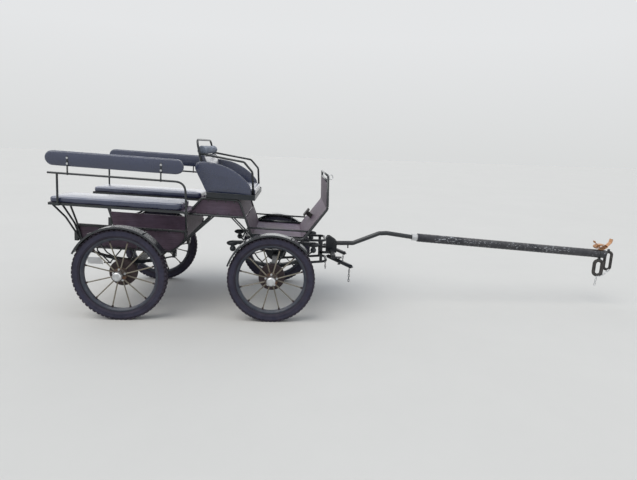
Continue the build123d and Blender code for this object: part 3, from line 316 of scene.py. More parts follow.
def fine_skin():
    """The small height of a surface: a grain of cells over longer creases."""
    skin = Effect("fine_skin", {"Height": FLOAT}, Cell_Scale=500.0, Cells=0.5, Crease_Scale=12.0, Creases=0.5)
    cell = skin.put("ShaderNodeTexVoronoi", {"Vector": skin.vector, "Scale": skin.get["Cell Scale"]})
    crease = skin.cloudy(skin.get["Crease Scale"], 5.0, 0.55, seed=17.0)
    ridge = skin.calc("ABSOLUTE", skin.calc("SUBTRACT", crease, 0.5))
    creases = skin.times(skin.calc("POWER", ridge, 0.6), skin.get["Creases"])
    return skin.send(Height=skin.plus(skin.times(cell, skin.get["Cells"]), creases))


GROUPS = {build.__name__: build() for build in (uneven_tone, road_dust, rubbed_edges, rust_bloom, fine_skin)}


class Surface(Nodes):
    """A material: its shader's own constants, and what feeds the shader over the surface."""

    def __init__(self, name, **sockets):
        self.material = bpy.data.materials.new(name)
        self.material.use_nodes = True
        super().__init__(self.material.node_tree)
        self.vector = self.node("ShaderNodeTexCoord").outputs["Object"]
        self.shader = self.tree.nodes["Principled BSDF"]
        self.feed(**sockets)

    def feed(self, **values):
        """Link or set the shader's sockets. Underscores in their names stand for spaces."""
        for key, value in values.items():
            self.link(value, self.shader.inputs[key.replace("_", " ")])

    def toned(self, colour, strength, scale):
        return self.use("uneven_tone", Colour=colour, Strength=strength, Scale=scale)["Colour"]

    def rubbed(self, colour, worn, **edges):
        """A colour that gives way to a worn one along edges."""
        return self.blend(self.use("rubbed_edges", **edges)["Mask"], colour, worn)

    def rusted(self, colour, amount, scale):
        return self.use("rust_bloom", Colour=colour, Amount=amount, Scale=scale)["Colour"]

    def dusted(self, colour, rough, **dust):
        """Road dust over a colour, with the roughness without dust and under it. Gives the dust's cover."""
        dusty = self.use("road_dust", Colour=colour, **dust)
        self.feed(Base_Color=dusty["Colour"], Roughness=self.ramp(dusty["Cover"], 0.0, 1.0, *rough))
        return dusty["Cover"]

    def grain(self, cell_scale, cells, crease_scale, creases):
        """The height of a grain of cells over longer creases."""
        return self.use("fine_skin", Cell_Scale=cell_scale, Cells=cells, Crease_Scale=crease_scale,
                        Creases=creases)["Height"]

    def raised(self, height, distance, strength=1.0):
        """Turn a height into the shader's normal, and give the finished material."""
        bump = self.put("ShaderNodeBump", {"Height": height, "Distance": distance, "Strength": strength})
        self.feed(Normal=bump)
        return self.material


def painted(name, colour, worn, roughness, rust, edges, top, sides, **sockets):
    """Paint on metal: uneven tone, rubbed edges, rust and road dust over it."""
    paint = Surface(name, **sockets)
    base = paint.rubbed(paint.toned(colour, 0.25, 7.0), worn, Amount=edges)
    rusty = paint.use("rust_bloom", Colour=base, Amount=rust)
    dusty = paint.use("road_dust", Colour=rusty["Colour"], On_Top=top, On_Sides=sides)
    rough = paint.plus(paint.times(rusty["Mask"], 0.3), paint.times(dusty["Cover"], 0.35))
    paint.feed(Base_Color=dusty["Colour"], Roughness=paint.plus(rough, roughness, clamp=True))
    skin = paint.grain(380.0, 0.25, 45.0, 0.5)
    return paint.raised(paint.plus(skin, paint.times(rusty["Mask"], 0.35)), 0.0006)


def padded_vinyl():
    """Dark navy vinyl: leather grain, soft creases, and pale lavender on what faces up, partly dust and
    partly a painted sheen of the sky.
    """
    vinyl = Surface("padded_vinyl", Specular_IOR_Level=0.6, Coat_Weight=1.0, Coat_Roughness=0.24)
    base = vinyl.toned(rgb(.014, .022, .060), 0.15, 4.0)
    # The lavender Dust colour on what faces up is partly dust and partly a painted sheen of the sky.
    vinyl.dusted(base, (0.27, 0.67), Dust=rgb(.28, .32, .48), On_Top=0.45, On_Sides=0.03, Scale=1.8)
    return vinyl.raised(vinyl.grain(620.0, 0.3, 9.0, 0.18), 0.0016, 0.8)


def cover_cloth():
    """Grey-blue woven cloth of the rolled cover."""
    cloth = Surface("cover_cloth", Sheen_Weight=0.25, Sheen_Roughness=0.6)
    base = cloth.toned(rgb(.15, .175, .22), 0.4, 13.0)
    cloth.dusted(base, (0.75, 0.95), Dust=rgb(.42, .43, .45), On_Top=0.4, Scale=18.0)
    threads = [cloth.node("ShaderNodeTexWave", {"Vector": cloth.vector, "Scale": 260.0, "Distortion": 1.5,
                                                "Detail": 1.0}, bands_direction=direction).outputs["Fac"]
               for direction in ("X", "Z")]
    weave = cloth.times(cloth.calc("MAXIMUM", *threads), 0.3)
    return cloth.raised(cloth.plus(weave, cloth.grain(90.0, 0.2, 24.0, 2.0)), 0.002)


def stained_plywood():
    """Mahogany-stained plywood: grain along the carriage, pale rubbed edges, and pale mauve on what faces up,
    partly dust and partly a painted highlight of sunlight.
    """
    wood = Surface("stained_plywood", Specular_IOR_Level=0.35)
    along = wood.stretched(1.2, 9.0, 16.0)
    bend = wood.cloudy(2.2, 4.0, 0.5, seed=2.0, over=along)
    rings = wood.node("ShaderNodeTexWave", {"Vector": along, "Scale": 1.6, "Distortion": 9.0, "Detail": 4.0,
                                            "Detail Scale": 1.6}, bands_direction="Z").outputs["Fac"]
    pores = wood.cloudy(1.0, 3.0, seed=4.0, over=wood.stretched(14.0, 160.0, 240.0))
    grain = wood.plus(wood.times(rings, 0.45), wood.plus(wood.times(bend, 0.4), wood.times(pores, 0.25)))
    stain = wood.blend(wood.ramp(grain, 0.3, 0.85), rgb(.042, .024, .036), rgb(.105, .066, .088))
    base = wood.rubbed(wood.toned(stain, 0.3, 3.5), rgb(.30, .22, .18), Width=0.006, Amount=0.75, Scale=24.0)
    # The mauve Dust colour, strongest on what faces up, is partly dust and partly a painted highlight of
    # sunlight.
    wood.dusted(base, (0.52, 0.9), Dust=rgb(.27, .22, .30), On_Top=0.6, On_Sides=0.26, Scale=6.0)
    return wood.raised(wood.plus(grain, pores), 0.0007)


def tyre_rubber():
    """Tyre rubber gone brown with dried mud on its tread, with a painted bluish sheen of the sky on its
    walls.
    """
    tyre = Surface("tyre_rubber", Specular_IOR_Level=0.3)
    # Painted sheen: the walls, which face sideways, are blended to a bluer rubber as if they reflected the
    # sky.
    wall_sky_sheen = tyre.ramp(tyre.calc("ABSOLUTE", tyre.parts(tyre.facing())["Y"]), 0.75, 0.97)
    rubber = tyre.blend(wall_sky_sheen, rgb(.026, .019, .026), rgb(.029, .029, .050))
    mud = tyre.dusted(tyre.toned(rubber, 0.4, 9.0), (0.68, 0.95), Dust=rgb(.095, .078, .100), On_Top=0.7,
                      On_Sides=0.36, Scale=16.0)
    return tyre.raised(tyre.plus(tyre.grain(260.0, 0.5, 60.0, 0.6), mud), 0.0009)


def wheel_paint(name, x, y, radius):
    """One wheel's finish by its zones: a rusty hub, tan rusty spokes and a blue-grey rim."""
    paint = Surface(name, Specular_IOR_Level=0.45)
    paint.vector = paint.put("ShaderNodeMapping", {"Vector": paint.vector, "Location": (-x, -y, -radius)})
    part = paint.parts(paint.vector)
    squares = [paint.calc("POWER", part[axis], 2.0) for axis in ("X", "Z")]
    out = paint.calc("SQRT", paint.plus(*squares))
    rim_at = radius - TYRE_H - 0.030
    spoke = paint.rusted(rgb(.21, .185, .135), 0.35, 26.0)
    rim = paint.rusted(rgb(.030, .037, .056), 0.2, 20.0)
    hub = paint.rusted(rgb(.075, .060, .050), 0.6, 18.0)
    colour = paint.blend(paint.ramp(out, 0.060, 0.072), hub, spoke)
    colour = paint.blend(paint.ramp(out, rim_at - 0.003, rim_at + 0.003), colour, rim)
    paint.dusted(colour, (0.36, 0.8), Dust=rgb(.30, .28, .25), On_Top=0.4, On_Sides=0.16, Scale=20.0)
    return paint.raised(paint.grain(300.0, 0.4, 50.0, 0.5), 0.0008)


def rusty_iron():
    """The cast brake drums, rusted all over."""
    iron = Surface("drum_rust", Specular_IOR_Level=0.3)
    tone = iron.toned(iron.rusted(rgb(.056, .040, .040), 0.10, 22.0), 0.4, 20.0)
    iron.dusted(tone, (0.75, 0.95), Dust=rgb(.11, .085, .085), On_Top=0.5, On_Sides=0.3)
    return iron.raised(iron.grain(210.0, 0.8, 60.0, 0.8), 0.0012)


def worn_metal(name, colour, roughness, rust):
    """Bare metal with fine scratches, dull patches and a little rust."""
    metal = Surface(name, Specular_IOR_Level=0.5)
    rusty = metal.use("rust_bloom", Colour=metal.toned(colour, 0.22, 26.0), Amount=rust, Scale=24.0)
    dusty = metal.use("road_dust", Colour=rusty["Colour"], On_Top=0.3, On_Sides=0.08)
    scratch = metal.cloudy(1.0, 3.0, over=metal.stretched(30.0, 400.0, 30.0))
    scratched = metal.ramp(scratch, 0.3, 0.7, roughness - 0.1, roughness + 0.12)
    dull = metal.times(metal.plus(rusty["Mask"], dusty["Cover"]), 0.4)
    hidden = metal.calc("MAXIMUM", rusty["Mask"], dusty["Cover"])
    metal.feed(Base_Color=dusty["Colour"], Roughness=metal.plus(scratched, dull, clamp=True),
               Metallic=metal.calc("SUBTRACT", 1.0, hidden, clamp=True))
    return metal.raised(scratch, 0.0003)


def taped_pole():
    """Black tape wound round the pole, scuffed through to white flecks."""
    tape = Surface("taped_pole", Specular_IOR_Level=0.45)
    along = tape.stretched(0.55, 1.0, 1.0)
    patch = tape.ramp(tape.cloudy(10.0, 3.0, seed=21.0, over=along), 0.50, 0.60)
    fleck = tape.ramp(tape.cloudy(75.0, 5.0, 0.7, seed=23.0, over=along), 0.56, 0.62)
    base = tape.toned(rgb(.022, .023, .03), 0.4, 9.0)
    colour = tape.blend(tape.times(patch, fleck), base, rgb(.62, .64, .66))
    tape.dusted(colour, (0.42, 0.85), On_Top=0.3, On_Sides=0.1)
    return tape.raised(tape.grain(150.0, 0.3, 38.0, 1.6), 0.0012)


def loop_rubber():
    """Black rubber on the draw loops and the pedal, paler where dust clings."""
    rubber = Surface("loop_rubber", Specular_IOR_Level=0.4)
    base = rubber.toned(rgb(.022, .02, .02), 0.4, 30.0)
    rubber.dusted(base, (0.5, 0.9), Dust=rgb(.30, .27, .24), On_Top=0.5, On_Sides=0.3, Scale=40.0)
    return rubber.raised(rubber.grain(300.0, 0.4, 70.0, 0.8), 0.0008)


def tan_leather():
    """Tan strap leather, creased across and darker at its rubbed edges."""
    hide = Surface("tan_leather", Specular_IOR_Level=0.4)
    tan = hide.toned(rgb(.55, .27, .115), 0.35, 24.0)
    base = hide.rubbed(tan, rgb(.16, .075, .035), Width=0.003, Amount=0.9, Scale=60.0)
    hide.dusted(base, (0.5, 0.85), Dust=rgb(.5, .42, .33), On_Top=0.3, Scale=30.0)
    return hide.raised(hide.grain(520.0, 0.4, 60.0, 1.4), 0.0009)


def plate_white():
    """The blank plate's pale enamel."""
    enamel = Surface("blank_plate", Specular_IOR_Level=0.5)
    enamel.dusted(rgb(.78, .79, .80), (0.4, 0.8), On_Top=0.3, On_Sides=0.15)
    return enamel.material


FINISH = {
    "vinyl": padded_vinyl(),
    "cover_cloth": cover_cloth(),
    "plywood": stained_plywood(),
    "frame_paint": painted("frame_paint", rgb(.012, .016, .019), rgb(.30, .31, .25), roughness=0.26,
                           rust=0.16, edges=0.4, top=0.12, sides=0.03, Specular_IOR_Level=0.6),
    "fender_paint": painted("fender_paint", rgb(.010, .014, .019), rgb(.24, .25, .26), roughness=0.20,
                            rust=0.10, edges=0.35, top=0.12, sides=0.04, Specular_IOR_Level=0.6,
                            Coat_Weight=0.3, Coat_Roughness=0.2),
    "gear_iron": painted("gear_iron", rgb(.009, .013, .018), rgb(.15, .16, .15), roughness=0.32,
                         rust=0.22, edges=0.35, top=0.16, sides=0.05, Specular_IOR_Level=0.45),
    "drum_rust": rusty_iron(),
    "hub_metal": worn_metal("hub_metal", rgb(.60, .61, .62), roughness=0.34, rust=0.10),
    "tyre": tyre_rubber(),
    "pole_wrap": taped_pole(),
    "bare_metal": worn_metal("bare_metal", rgb(.56, .57, .58), roughness=0.36, rust=0.30),
    "strap_rubber": loop_rubber(),
    "tan_leather": tan_leather(),
}
# Each wheel's middle, radius and side
WHEELS = {row + "_" + hand: (REAR_X + at, side * TRACK_HALF, radius, side)
          for row, at, radius in (("rear", 0.0, REAR_R), ("front", WHEELBASE, FRONT_R))
          for hand, side in HANDS.items()}


def dress_cad():
    """Give each CAD piece the finish of its slot, and each wheel one centred on its own hub."""
    for row in frame["record"]["subparts"]:
        piece = NODES[row["node"]]
        wheel = row["node"].removeprefix("wheel_")
        if wheel in WHEELS:
            material = wheel_paint("wheel_paint_" + wheel, *WHEELS[wheel][:3])
        else:
            material = FINISH[row["material_slot"]]
        for place in piece.material_slots:
            place.material = material


# Meshes. A shell is a closed form, as its points and its faces.


def frame_body(node):
    """The body that a CAD piece rides on."""
    return next(body for body, names in frame["record"]["behaviour"]["bodies"].items() if node in names)


def add_piece(name, mesh, slot, body, replaces=()):
    """Put a finished mesh in the scene on its body, with the finish of its slot."""
    piece = bpy.data.objects.new(name, mesh)
    SCENE.collection.objects.link(piece)
    if not mesh.materials:
        mesh.materials.append(FINISH[slot])
    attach(piece, body)
    if replaces:
        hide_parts(*replaces)
    return piece


def add_shells(name, shells, slot, body="body", replaces=(), sharp=None):
    """Put several shells in the scene as one piece."""
    return add_piece(name, joined_mesh(shells, name, sharp), slot, body, replaces)


def shade_smooth(mesh, smooth=True):
    mesh.polygons.foreach_set("use_smooth", [smooth] * len(mesh.polygons))


def settled(piece):
    """A piece's mesh as its modifiers leave it."""
    depsgraph = bpy.context.evaluated_depsgraph_get()
    return bpy.data.meshes.new_from_object(piece.evaluated_get(depsgraph), depsgraph=depsgraph)


def smooth_skin(piece):
    """One level of subdivision, in the view and in the render."""
    skin = piece.modifiers.new("smooth_skin", "SUBSURF")
    skin.levels = skin.render_levels = 1


def mesh_from(points, faces, name):
    """A smooth mesh from points and faces, closed and facing outwards."""
    mesh = bpy.data.meshes.new(name)
    mesh.from_pydata([tuple(point) for point in points], [], faces)
    shape = bmesh.new()
    shape.from_mesh(mesh)
    bmesh.ops.remove_doubles(shape, verts=shape.verts, dist=1e-6)
    bmesh.ops.recalc_face_normals(shape, faces=shape.faces)
    shape.to_mesh(mesh)
    shape.free()
    shade_smooth(mesh)
    return mesh


def joined_mesh(shells, name, sharp=None):
    """One mesh from several shells, with edges sharper than an angle kept hard."""
    points, faces = [], []
    for found, made in shells:
        faces += [tuple(index + len(points) for index in face) for face in made]
        points += found
    mesh = mesh_from(points, faces, name)
    if sharp:
        mesh.set_sharp_from_angle(angle=math.radians(sharp))
    return mesh


def ring_faces(rings, around, closed=False):
    """Faces between rings of points, with the ends closed by caps or to each other."""
    faces = []
    for ring in range(rings if closed else rings - 1):
        below, above = ring * around, (ring + 1) % rings * around
        for step in range(around):
            after = (step + 1) % around
            faces.append((below + step, below + after, above + after, above + step))
    if not closed:
        faces.append(tuple(range(around)))
        faces.append(tuple(range((rings - 1) * around, rings * around)))
    return faces


def tube_along(points, radius, around=8, closed=True, outward=UP):
    """A round welt, wire or tube along points, as a shell."""
    ring, count = [], len(points)
    for number, here in enumerate(points):
        before = points[number - 1] if closed or number else here
        after = points[(number + 1) % count] if closed or number + 1 < count else here
        ahead = (after - before).normalized()
        side = outward.cross(ahead)
        side = side.normalized() if side.length > 1e-6 else ACROSS
        top = ahead.cross(side)
        ring += [here + side * (radius * c) + top * (radius * s) for c, s in circle(around)]
    return ring, ring_faces(count, around, closed)


def bent(corners, bend, steps=8):
    """A line through corners, with each one rounded off."""
    corners = [Vector(corner) for corner in corners]
    line = [corners[0]]
    for before, here, after in zip(corners, corners[1:], corners[2:]):
        back, ahead = before - here, after - here
        reach = min(bend / math.tan(back.angle(ahead) / 2), back.length * 0.49, ahead.length * 0.49)
        line += bow(here + back.normalized() * reach, here, here + ahead.normalized() * reach, steps)
    return line + [corners[-1]]


def bow(first, pull, last, steps):
    """A bow from one point to another, drawn towards a third."""
    shares = [step / steps for step in range(steps + 1)]
    return [first.lerp(pull, share).lerp(pull.lerp(last, share), share) for share in shares]


def slab(low, high, place):
    """A straight block between two corners, each corner then put in its place, as a shell."""
    outline = ((low[0], low[1]), (high[0], low[1]), (high[0], high[1]), (low[0], high[1]))
    corners = [place(x, y, z) for x, y in outline for z in (low[2], high[2])]
    return corners, [(0, 2, 4, 6), (1, 3, 5, 7), (0, 2, 3, 1), (2, 4, 5, 3), (4, 6, 7, 5), (6, 0, 1, 7)]


def ribbon(line, width, thick):
    """A flat strap along a line in the side view, its width crosswise, as a shell."""
    points = []
    for number, here in enumerate(line):
        before, after = line[max(number - 1, 0)], line[min(number + 1, len(line) - 1)]
        ahead = (after - before).normalized()
        lift = Vector((-ahead.z, 0, ahead.x)) * (thick / 2)
        side = ACROSS * (width / 2)
        points += [here + lift + side, here + lift - side, here - lift - side, here - lift + side]
    return points, ring_faces(len(line), 4)


def bulb(centre, half):
    """A rounded lump, as a shell."""
    rings, around = 12, 20
    points = []
    for ring in range(rings):
        tilt = math.pi * (ring + 0.5) / rings
        points += [centre + Vector((half[0] * math.cos(tilt), half[1] * math.sin(tilt) * c,
                                    half[2] * math.sin(tilt) * s)) for c, s in circle(around)]
    return points, ring_faces(rings, around)


def link_chain(line, wire, pitch=0.029, width=0.023):
    """Round-wire links along a line, each turned a quarter from the last, as shells."""
    shells = []
    bow_half = width / 2 - wire
    for start, end in zip(line, line[1:]):
        run = end - start
        count = max(2, round(run.length / pitch))
        straight = run.length / count / 2 + wire * 0.6 - bow_half
        ahead = run.normalized()
        first = ahead.cross(Vector((0.3, 1, 0.2))).normalized()
        for step in range(count):
            flat = first if len(shells) % 2 else ahead.cross(first)
            middle = start + run * ((step + 0.5) / count)
            loop = [middle + ahead * (math.copysign(straight, c) + bow_half * c) + flat * (bow_half * s)
                    for c, s in circle(16, TURN / 32)]
            shells.append(tube_along(loop, wire, outward=ahead.cross(flat)))
    return shells


class Bars:
    """A metal piece's tubes and plates, each put in its place, then made one mesh."""

    def __init__(self, place):
        self.place, self.shells = place, []

    def run(self, line, radius, side=1, around=14, outward=UP):
        """A tube along a finished line, which is drawn for the left side."""
        line = [self.place(point.x, point.y * side, point.z) for point in line]
        self.shells.append(tube_along(line, radius, around, closed=False, outward=outward))

    def tube(self, corners, radius, bend=0.01, **more):
        """A tube that is bent at its corners."""
        self.run(bent(corners, bend), radius, **more)

    def plate(self, low, high):
        self.shells.append(slab(low, high, self.place))


# Geometry Nodes make what repeats


class Growth(Group):
    """A geometry tree that puts its copies on the mesh it is given."""

    def __init__(self, name, **inputs):
        inputs = {"Geometry": GEOMETRY, **inputs, "Finish": MATERIAL}
        super().__init__("GeometryNodeTree", name, inputs, {"Geometry": GEOMETRY})

    def shifted(self, geometry, **how):
        return self.put("GeometryNodeTransform", {"Geometry": geometry, **how})

    def copied(self, points, piece, turn):
        """A copy of a piece on each point, turned its own way."""
        return self.put("GeometryNodeInstanceOnPoints", {"Points": points, "Instance": piece,
                                                         "Rotation": turn})

    def done(self, geometry):
        """Make the copies real, give them their finish and send them out."""
        real = self.put("GeometryNodeRealizeInstances", {"Geometry": geometry})
        return self.send(Geometry=self.put("GeometryNodeSetMaterial", {"Geometry": real,
                                                                       "Material": self.get["Finish"]}))


def bolt_tree():
    """A washer and a many-sided head on every point, facing as the point's own direction says."""
    tree = Growth("bolts_on_points", Head_Radius=0.006, Head_Height=0.004, Washer_Radius=0.009, Sides=6)
    join = tree.node("GeometryNodeJoinGeometry")
    high = tree.get["Head Height"]
    for sides, radius, height, lift in ((tree.get["Sides"], tree.get["Head Radius"], high, 0.5),
                                        (16, tree.get["Washer Radius"], 0.0016, 0.0)):
        drum = tree.put("GeometryNodeMeshCylinder", {"Vertices": sides, "Radius": radius, "Depth": height})
        tree.link(tree.shifted(drum, Translation=tree.xyz(Z=tree.times(high, lift))), join.inputs[0])
    facing = tree.put("GeometryNodeInputNamedAttribute", {"Name": "facing"}, data_type="FLOAT_VECTOR")
    turn = tree.put("FunctionNodeAlignRotationToVector", {"Vector": facing}, axis="Z")
    cloud = tree.put("GeometryNodeMeshToPoints", {"Mesh": tree.get["Geometry"]})
    return tree.done(tree.copied(cloud, join.outputs[0], turn))


def tread_tree():
    """Four rows of tread blocks round a wheel, every other one set over by half a step."""
    tree = Growth("tread_blocks", Count=60, Radius=0.42, Block_Length=0.028, Block_Width=0.018,
                  Block_Height=0.012, Row_Spread=0.02, Shoulder_Lean=0.5, Centre=VECTOR)
    get = tree.get
    join = tree.node("GeometryNodeJoinGeometry")
    step = tree.calc("DIVIDE", TURN, get["Count"])
    size = tree.xyz(X=get["Block Height"], Y=get["Block Length"], Z=get["Block Width"])
    here = tree.parts(tree.put("GeometryNodeInputPosition"))
    round_the_wheel = tree.xyz(Z=tree.calc("ARCTAN2", here["Y"], here["X"]))
    for row, lean, over in ((-1.5, 1.0, False), (-0.5, 0.0, True), (0.5, 0.0, False), (1.5, -1.0, True)):
        ring = tree.put("GeometryNodeMeshCircle", {"Vertices": get["Count"], "Radius": get["Radius"]})
        cube = tree.put("GeometryNodeMeshCube", {"Size": size})
        skew = tree.xyz(X=-0.35 if over else 0.35, Y=tree.times(get["Shoulder Lean"], lean))
        blocks = tree.copied(ring, tree.shifted(cube, Rotation=skew), round_the_wheel)
        shift = tree.xyz(Z=tree.times(step, 0.5 if over else 0.0))
        drop = tree.xyz(Z=tree.times(get["Row Spread"], row))
        tree.link(tree.shifted(blocks, Rotation=shift, Translation=drop), join.inputs[0])
    upright = (math.pi / 2, 0, 0)
    return tree.done(tree.shifted(join.outputs[0], Rotation=upright, Translation=get["Centre"]))


def tape_tree():
    """Tape wound round a rod: each turn laps over the last, so the surface climbs and steps down."""
    tree = Growth("wound_tape", Radius=0.04, Turn_Width=0.045, Lap_Height=0.0016, Lumps=0.002, Step=0.006)
    get = tree.get

    def stored(geometry, name, value):
        """A curve whose points keep a value under a name, and that value as read back from it."""
        inputs = {"Geometry": geometry, "Name": name, "Value": value}
        kept = tree.put("GeometryNodeStoreNamedAttribute", inputs, data_type="FLOAT", domain="POINT")
        return kept, tree.put("GeometryNodeInputNamedAttribute", {"Name": name}, data_type="FLOAT")

    line = tree.put("GeometryNodeMeshToCurve", {"Mesh": get["Geometry"]})
    fine = tree.put("GeometryNodeResampleCurve", {"Curve": line, "Length": get["Step"]}, mode="LENGTH")
    spline = tree.node("GeometryNodeSplineParameter").outputs
    core, along = stored(fine, "along", spline["Length"])
    hoop = tree.put("GeometryNodeCurvePrimitiveCircle", {"Resolution": 40, "Radius": get["Radius"]})
    hoop, turn = stored(hoop, "turn", spline["Factor"])
    skin = tree.put("GeometryNodeCurveToMesh", {"Curve": core, "Profile Curve": hoop, "Fill Caps": True})
    phase = tree.plus(tree.calc("DIVIDE", along, get["Turn Width"]), turn)
    climb = tree.times(tree.calc("FRACT", phase), get["Lap Height"])
    place = tree.put("GeometryNodeInputPosition")
    lump = tree.calc("SUBTRACT", tree.cloudy(22.0, 3.0, seed=31.0, over=place), 0.5)
    lift = tree.plus(climb, tree.times(lump, get["Lumps"]))
    push = tree.put("ShaderNodeVectorMath", {0: tree.put("GeometryNodeInputNormal"), "Scale": lift},
                    operation="SCALE")
    return tree.done(tree.put("GeometryNodeSetPosition", {"Geometry": skin, "Offset": push}))


BOLTS = bolt_tree()
TREAD = tread_tree()
TAPE = tape_tree()


def grown(tree, name, source, slot, body, smooth=False, replaces=(), **inputs):
    """Run a tree on a source mesh and keep the result as a plain mesh on its body."""
    seed = bpy.data.objects.new(name + "_seed", source)
    SCENE.collection.objects.link(seed)
    modifier = seed.modifiers.new("grow", "NODES")
    modifier.node_group = tree
    inputs["Finish"] = FINISH[slot]
    for socket in tree.interface.items_tree:
        key = socket.name.replace(" ", "_")
        if socket.in_out == "INPUT" and key in inputs:
            modifier[socket.identifier] = inputs[key]
    mesh = settled(seed)
    bpy.data.objects.remove(seed)
    shade_smooth(mesh, smooth)
    return add_piece(name, mesh, slot, body, replaces)


def grow_bolts(name, rows, slot, body, head, height, washer, sides=6):
    """Bolts at places, each given with the direction that its head faces."""
    mesh = bpy.data.meshes.new(name)
    mesh.from_pydata([tuple(place) for place, _ in rows], [], [])
    facing = mesh.attributes.new("facing", "FLOAT_VECTOR", "POINT")
    for number, (_, direction) in enumerate(rows):
        facing.data[number].vector = Vector(direction).normalized()
    grown(BOLTS, name, mesh, slot, body, Head_Radius=head, Head_Height=height, Washer_Radius=washer,
          Sides=sides)


# Padded vinyl


class Pad:
    """A cushion made from its own solid: remeshed, swelled with air as cloth, then welted."""

    def __init__(self, node, axis, fit, voxel, cap, seams, welt=0.0045, crown=0.007, inset=0.004,
                 pressure=4.0, soften=0):
        self.node, self.cap, self.seams, self.welt, self.crown = node, cap, seams, welt, crown
        self.axis = Vector(axis).normalized()
        self.piece = bpy.data.objects.new(node + "_pad", self.fitted(fit, inset))
        SCENE.collection.objects.link(self.piece)
        remesh = self.piece.modifiers.new("even_skin", "REMESH")
        remesh.mode, remesh.voxel_size = "VOXEL", voxel
        if soften:
            smooth = self.piece.modifiers.new("soft_edges", "SMOOTH")
            smooth.factor, smooth.iterations = 0.5, soften
        self.piece.data = settled(self.piece)
        self.piece.modifiers.clear()
        self.start = [vert.co.copy() for vert in self.piece.data.vertices]
        self.hold()
        self.blow(pressure)

    def fitted(self, fit, inset):
        """The solid's mesh, fitted on the level body and drawn in to leave room for the air."""
        mesh = NODES[self.node].data.copy()
        shape = bmesh.new()
        shape.from_mesh(mesh)
        bmesh.ops.remove_doubles(shape, verts=shape.verts, dist=1e-5)
        bmesh.ops.recalc_face_normals(shape, faces=shape.faces)
        for vert in shape.verts:
            vert.co = LEAN @ fit(UNLEAN @ vert.co)
        spans = [[vert.co[way] for vert in shape.verts] for way in range(3)]
        self.centre = Vector([(min(span) + max(span)) / 2 for span in spans])
        for vert in shape.verts:
            away = vert.co - self.centre
            flat = away - self.axis * away.dot(self.axis)
            vert.co -= flat.normalized() * inset if flat.length > inset else Vector()
            vert.co -= self.axis * math.copysign(inset * 0.5, away.dot(self.axis))
        shape.to_mesh(mesh)
        shape.free()
        return mesh

    def rests(self, vert):
        """Whether the point lies on the side that the cushion sits on."""
        return self.axis.z > 0.9 and vert.normal.dot(self.axis) < -0.6

    def hold(self):
        """Hold the side that the cushion sits on, and most of what slopes between top and wall."""
        held = self.piece.vertex_groups.new(name="held")
        for vert in self.piece.data.vertices:
            slope = abs(vert.normal.dot(self.axis))
            if self.rests(vert):
                held.add([vert.index], 1.0, "REPLACE")
            elif 0.3 < slope < 0.93:
                held.add([vert.index], 0.8, "REPLACE")

    def blow(self, pressure):
        """Make the skin a cloth with air pressed into it."""
        cloth = self.piece.modifiers.new("air", "CLOTH")
        for name, value in dict(quality=4, mass=0.3, tension_stiffness=12, compression_stiffness=12,
                                bending_stiffness=0.6, use_pressure=True, uniform_pressure_force=pressure,
                                vertex_group_mass="held").items():
            setattr(cloth.settings, name, value)
        cloth.settings.effector_weights.gravity = 0
        cloth.point_cache.frame_start, cloth.point_cache.frame_end = 1, AIR_FRAMES

    def moved(self, vert, first):
        """Where a point ends: as far as the air took it, up to the cap."""
        move = vert.co - first
        if move.length > self.cap:
            move *= self.cap / move.length
        return first + move

    def finish(self):
        """Take the simulated shape, and sew a welt along each seam."""
        mesh = settled(self.piece)
        self.piece.modifiers.clear()
        for vert, first in zip(mesh.vertices, self.start):
            vert.co = self.moved(vert, first)
        body = frame_body(self.node)
        mesh.materials.clear()
        shade_smooth(mesh)
        bpy.data.objects.remove(self.piece)
        pad = add_piece(self.node + "_cover", mesh, "vinyl", body, [self.node])
        smooth_skin(pad)
        cover = BVHTree.FromPolygons([v.co for v in mesh.vertices], [p.vertices for p in mesh.polygons])
        welts = [tube_along(self.seam(cover, level), self.welt, outward=self.axis) for level in self.seams]
        add_shells(self.node + "_welts", welts, "vinyl", body)

    def seam(self, cover, level, count=220):
        """Points where rays from the middle meet the cover, at a level along the pad's thin way."""
        first = self.axis.orthogonal().normalized()
        second = self.axis.cross(first)
        origin = self.centre + self.axis * level
        hits = [cover.ray_cast(origin, first * c + second * s)[0] for c, s in circle(count * 4)]
        return even_loop([place for place in hits if place is not None], count)


def even_loop(points, count):
    """A closed line through points, spaced evenly and smoothed a little."""
    total, marks = 0.0, [0.0]
    for here, there in zip(points, points[1:] + points[:1]):
        total += (there - here).length
        marks.append(total)
    loop, at = [], 0
    for number in range(count):
        goal = total * number / count
        while marks[at + 1] < goal and at + 2 < len(marks):
            at += 1
        share = (goal - marks[at]) / max(marks[at + 1] - marks[at], 1e-9)
        loop.append(points[at].lerp(points[(at + 1) % len(points)], share))
    for _ in range(3):
        loop = [(loop[i - 1] + loop[i] * 2 + loop[(i + 1) % count]) / 4 for i in range(count)]
    return loop


def bench_fit(place):
    """The bench cushions as they are after years of use: flatter, and short of the box in front."""
    along = place.x - BENCH_REAR
    squash = CUSHION_SQUASH + 0.10 * along
    return Vector((BENCH_REAR - 0.012 + along * 0.978, place.y, BOARD_TOP + (place.z - BOARD_TOP) * squash))


def backrest_fit(place):
    """The backrests, whose ends are drawn down almost to half rounds. The far one is shorter at its rear."""
    x, y, z = place
    rear_turn, front_turn, shortened, length = -0.572, 0.480, 0.055, 1.2
    past = max(0.0, (rear_turn - x) / 0.076 * 1.22, (x - front_turn) / 0.072)
    if y > 0:
        x += shortened * max(0.0, 0.55 - x) / length
    drawn = 1 - 0.30 * min(1.25, past) ** 2
    return Vector((x, y, BACKREST_MIDDLE + (z - BACKREST_MIDDLE) * drawn))


def seat_fit(place):
    """The seat cushion between the arm rails."""
    return Vector((place.x, place.y * 0.942, place.z))


